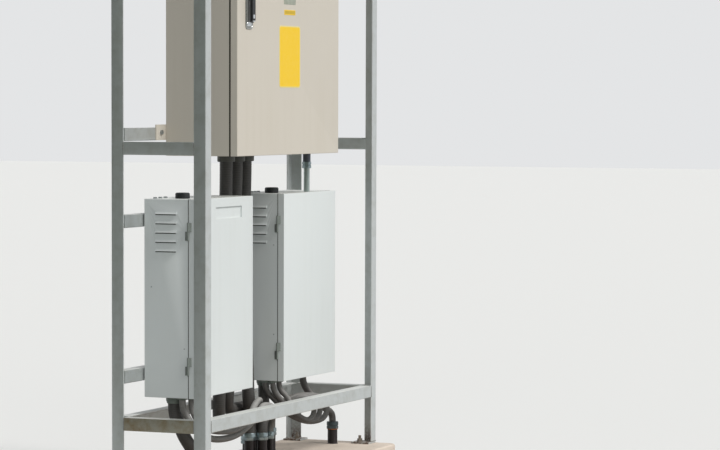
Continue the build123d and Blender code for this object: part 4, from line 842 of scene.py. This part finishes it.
# Small fasteners, in millimetres: screws in the left sides of both boxes, then bolts on their tops
SCREW_PLACES = ((-689.0, 150.0, 898.0), (-689.0, 8.0, 660.0), (153.0, 8.0, 1029.0), (153.0, 8.0, 660.0))
SCREW_OUT = 0.8
TOP_BOLT_XS = (-655.0, -610.0, -565.0, 247.0, 278.0, 309.0)
TOP_BOLT_Y = 150.0
side_screws = [((x - SCREW_OUT) * MM, y * MM, z * MM) for x, y, z in SCREW_PLACES]
placed("side_screws", grown("side_screws", point_mesh(side_screws), FASTENER_HEADS,
                            head_radius=2.6 * MM, head_height=1.4 * MM, corners=16, taper=0.7,
                            turn=(0.0, -pi / 2, 0.0), finish=ZINC), "stand")
top_bolts = [(x * MM, TOP_BOLT_Y * MM, BOX_HIGH) for x in TOP_BOLT_XS]
placed("top_bolts", grown("top_bolts", point_mesh(top_bolts), FASTENER_HEADS,
                          head_radius=8.5 * MM, head_height=6.0 * MM, corners=6, taper=0.85,
                          turn=(0.0, 0.0, 0.0), finish=ZINC), "stand")

# Weld beads where the rails meet the posts and round the foot of each post, in millimetres: outer face and
# leg end of each post's angle, tops of the rails, and the stretch below a top that is welded
POST_XS = ((-850.0, -800.0), (850.0, 800.0))
POST_YS = ((-160.0, -110.0), (240.0, 190.0))
LONG_RAIL_TOPS = (400.0, 2670.0)
SIDE_RAIL_TOPS = (400.0, 1463.0, 2670.0)
FOOT_WELD_Z = 158.5
WELD_LOW = 47.0
WELD_HIGH = 4.0
weld_points, weld_edges = [], []


def weld_run(start, end):
    weld_edges.append((len(weld_points), len(weld_points) + 1))
    weld_points.extend([tuple(v * MM for v in start), tuple(v * MM for v in end)])


for x, inner in POST_XS:
    for y, inside in POST_YS:
        for top in LONG_RAIL_TOPS:
            weld_run((inner, y, top - WELD_LOW), (inner, y, top - WELD_HIGH))
        for top in SIDE_RAIL_TOPS:
            weld_run((x, inside, top - WELD_LOW), (x, inside, top - WELD_HIGH))
        weld_run((x, y, FOOT_WELD_Z), (inner, y, FOOT_WELD_Z))
        weld_run((x, y, FOOT_WELD_Z), (x, inside, FOOT_WELD_Z))
placed("frame_welds", grown("frame_welds", point_mesh(weld_points, weld_edges), WELD_BEAD,
                            bead_radius=2.0 * MM, ripple=2.4 * MM, seed=7, finish=WELD),
       "stand")


CORNER_STEPS = 5
LEAST_ROUND = 0.3 * MM


# Rounded rectangular plate on the door: loops of (inset, depth, finish of the band that follows)
def rounded_plate(form, centre_x, centre_z, width, height, corner, steps):
    loops = []
    for inset, depth, _ in steps:
        half_w, half_h, round_off = width / 2 - inset, height / 2 - inset, max(corner - inset, LEAST_ROUND)
        loop = []
        for quarter, (side_x, side_z) in enumerate(((1, 1), (-1, 1), (-1, -1), (1, -1))):
            for k in range(CORNER_STEPS + 1):
                angle = pi / 2 * (quarter + k / CORNER_STEPS)
                loop.append(form.verts.new((
                    centre_x + side_x * (half_w - round_off) + round_off * cos(angle), depth,
                    centre_z + side_z * (half_h - round_off) + round_off * sin(angle))))
        loops.append(loop)
    for (_, _, finish), back, front in zip(steps, loops, loops[1:]):
        for i in range(len(back)):
            j = (i + 1) % len(back)
            form.faces.new((back[i], back[j], front[j], front[i])).material_index = finish
    form.faces.new(loops[0]).material_index = steps[0][2]
    form.faces.new(loops[-1][::-1]).material_index = steps[-1][2]


# Plain plates on the door, 0.8 mm thick: centre x and z, width, height and corner of the yellow field, the
# small tag and the riveted badge
DOOR_FACE = -130.0 * MM
PLATE_FRONT = DOOR_FACE - 0.8 * MM
BADGE_Z = 2038.0 * MM
FIELD_PLATE = (0.0, 1798.0 * MM, 206.0 * MM, 248.0 * MM, 14.0 * MM)
TAG_PLATE = (0.0, 1976.0 * MM, 109.0 * MM, 20.0 * MM, 2.5 * MM)
BADGE_PLATE = (0.0, BADGE_Z, 116.0 * MM, 60.0 * MM, 5.0 * MM)
YELLOW, BORDER, OCHRE, METAL = range(4)
plates = bmesh.new()
rounded_plate(plates, *FIELD_PLATE, [
    (0.0, DOOR_FACE, BORDER), (0.0, PLATE_FRONT + 0.2 * MM, BORDER), (0.3 * MM, PLATE_FRONT, BORDER),
    (4.5 * MM, PLATE_FRONT, YELLOW)])
rounded_plate(plates, *TAG_PLATE, [
    (0.0, DOOR_FACE, YELLOW), (0.3 * MM, PLATE_FRONT, YELLOW), (3.0 * MM, PLATE_FRONT, OCHRE)])
rounded_plate(plates, *BADGE_PLATE, [
    (0.0, DOOR_FACE, METAL), (0.0, PLATE_FRONT + 0.3 * MM, METAL), (0.6 * MM, PLATE_FRONT, METAL)])
placed("plain_door_plates",
       mesh_of(plates, "plain_door_plates", [YELLOW_FIELD, PALE_BORDER, OCHRE_TAG, BADGE_METAL]),
       "cabinet_door", ["door_plates"])
rivets = [(x * MM, PLATE_FRONT - 0.6 * MM, BADGE_Z) for x in (-50.0, 50.0)]
placed("badge_rivets", grown("badge_rivets", point_mesh(rivets), FASTENER_HEADS,
                             head_radius=3.0 * MM, head_height=1.4 * MM, corners=16, taper=0.6,
                             turn=(pi / 2, 0.0, 0.0), finish=ZINC), "cabinet_door")

# Handle plate with its raised rim round a darker tray, and the bright cup at its lower end
HANDLE_X = -395.0 * MM
HANDLE_Z = 2004.0 * MM
TRAY = DOOR_FACE - 2.2 * MM
RIM = DOOR_FACE - 4.0 * MM
HANDLE_PLATE = (HANDLE_X, HANDLE_Z, 66.0 * MM, 206.0 * MM, 16.0 * MM)
LOWER_CUP = (HANDLE_X, HANDLE_Z - 84.0 * MM, 40.0 * MM, 18.0 * MM, 8.0 * MM)
SATIN, GREY, BRIGHT = range(3)
handle = bmesh.new()
rounded_plate(handle, *HANDLE_PLATE, [
    (0.0, DOOR_FACE, SATIN), (0.0, RIM + 1.2 * MM, SATIN), (1.2 * MM, RIM, SATIN),
    (5.0 * MM, RIM, SATIN), (7.0 * MM, TRAY, GREY)])
rounded_plate(handle, *LOWER_CUP, [
    (0.0, TRAY, BRIGHT), (1.0 * MM, RIM + 0.4 * MM, BRIGHT), (3.5 * MM, RIM - 1.0 * MM, BRIGHT)])
placed("handle_tray", mesh_of(handle, "handle_tray", [SATIN_CHROME, RECESS_GREY, POLISHED], 28.0),
       "cabinet_door", ["handle_plate"])

# Lever with soft edges, the bright cover of its keyhole and the bright strip at its lower end
LEVER_EDGE = 2.2 * MM
LEVER_EDGES_FROM = 8.0 * MM
dressed("handle_lever", LEVER_EDGE, False, LEVER_EDGES_FROM)
lever_low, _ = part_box("handle_lever")
KEY_COVER = (HANDLE_X, lever_low.z + 24.0 * MM, 16.0 * MM, 15.0 * MM, 4.0 * MM)
END_STRIP = (HANDLE_X, lever_low.z + 6.0 * MM, 20.0 * MM, 5.0 * MM, 2.0 * MM)
lever_front = lever_low.y
key_cap = bmesh.new()
rounded_plate(key_cap, *KEY_COVER, [
    (0.0, lever_front + 0.5 * MM, 0), (0.0, lever_front - 0.6 * MM, 0),
    (1.2 * MM, lever_front - 1.2 * MM, 0)])
rounded_plate(key_cap, *END_STRIP, [
    (0.0, lever_front + 0.5 * MM, 0), (0.6 * MM, lever_front - 0.6 * MM, 0)])
placed("key_cap", mesh_of(key_cap, "key_cap", [POLISHED]), "handle_lever")


# Pale studio floor: bright to the eye, duller in what it throws back, so that undersides stay dark
def seen_share(tree):
    path = add(tree, "ShaderNodeLightPath").outputs
    seen = math(tree, "MAXIMUM", path["Is Camera Ray"], path["Is Glossy Ray"])
    return math(tree, "MAXIMUM", seen, path["Is Transmission Ray"])


FLOOR_REACH = 60.0
FLOOR_Z = -0.5 * MM


def pale_floor():
    mesh = bpy.data.meshes.new("studio_floor")
    form = bmesh.new()
    for side_x, side_y in ((-1, -1), (1, -1), (1, 1), (-1, 1)):
        form.verts.new((side_x * FLOOR_REACH, side_y * FLOOR_REACH, FLOOR_Z))
    form.faces.new(form.verts)
    form.to_mesh(mesh)
    form.free()
    floor = bpy.data.objects.new("studio_floor", mesh)
    scene.collection.objects.link(floor)
    material, tree = start_material("pale_studio_floor")
    shader = add(tree, "ShaderNodeBsdfPrincipled", {
        "Base Color": mix(tree, seen_share(tree), "#A8A8A4", "#F0F0EE"), "Roughness": 0.9})
    finish_material(tree, shader)
    mesh.materials.append(material)


CARD_X = -2.8
CARD_REACH = 7.0
CARD_HIGH = 8.0


# Dark card on the left that only reflections see, so that bare metal turned that way goes dark
def dark_card():
    mesh = bpy.data.meshes.new("dark_card")
    corners = [(CARD_X, y, z) for y, z in ((-CARD_REACH, 0.0), (CARD_REACH, 0.0), (CARD_REACH, CARD_HIGH),
                                           (-CARD_REACH, CARD_HIGH))]
    mesh.from_pydata(corners, [], [(0, 1, 2, 3)])
    card = bpy.data.objects.new("dark_card", mesh)
    scene.collection.objects.link(card)
    card.visible_camera = card.visible_diffuse = card.visible_shadow = card.visible_transmission = False
    material, tree = start_material("dark_card_cloth")
    finish_material(tree, add(tree, "ShaderNodeEmission", {"Color": "#3C4638", "Strength": 1.0}))
    mesh.materials.append(material)


def lamp(name, energy, spread_degrees, colour, travels):
    sun = bpy.data.lights.new(name, "SUN")
    sun.energy = energy
    sun.angle = radians(spread_degrees)
    sun.color = colour
    holder = bpy.data.objects.new(name, sun)
    holder.rotation_euler = Vector(travels).to_track_quat("-Z", "Y").to_euler()
    scene.collection.objects.link(holder)


def studio_light():
    world = bpy.data.worlds.new("studio_world")
    scene.world = world
    world.use_nodes = True
    tree = world.node_tree
    tree.nodes.clear()
    lighting = add(tree, "ShaderNodeBackground", {"Color": (0.93, 0.96, 1.0, 1.0), "Strength": 0.36})
    backdrop = add(tree, "ShaderNodeBackground", {"Color": (0.86, 0.87, 0.88, 1.0), "Strength": 0.9})
    shader = add(tree, "ShaderNodeMixShader", {"Fac": seen_share(tree)})
    tree.links.new(lighting.outputs[0], shader.inputs[1])
    tree.links.new(backdrop.outputs[0], shader.inputs[2])
    output = tree.nodes.new("ShaderNodeOutputWorld")
    tree.links.new(shader.outputs[0], output.inputs["Surface"])
    lamp("front_sun", 2.45, 24, (1.0, 0.985, 0.96), (0.0, 1.0, -1.0))
    lamp("side_fill", 0.42, 40, (0.97, 1.0, 0.95), (0.85, 0.45, -0.3))


pale_floor()
dark_card()
studio_light()
scene.view_settings.view_transform = "Standard"
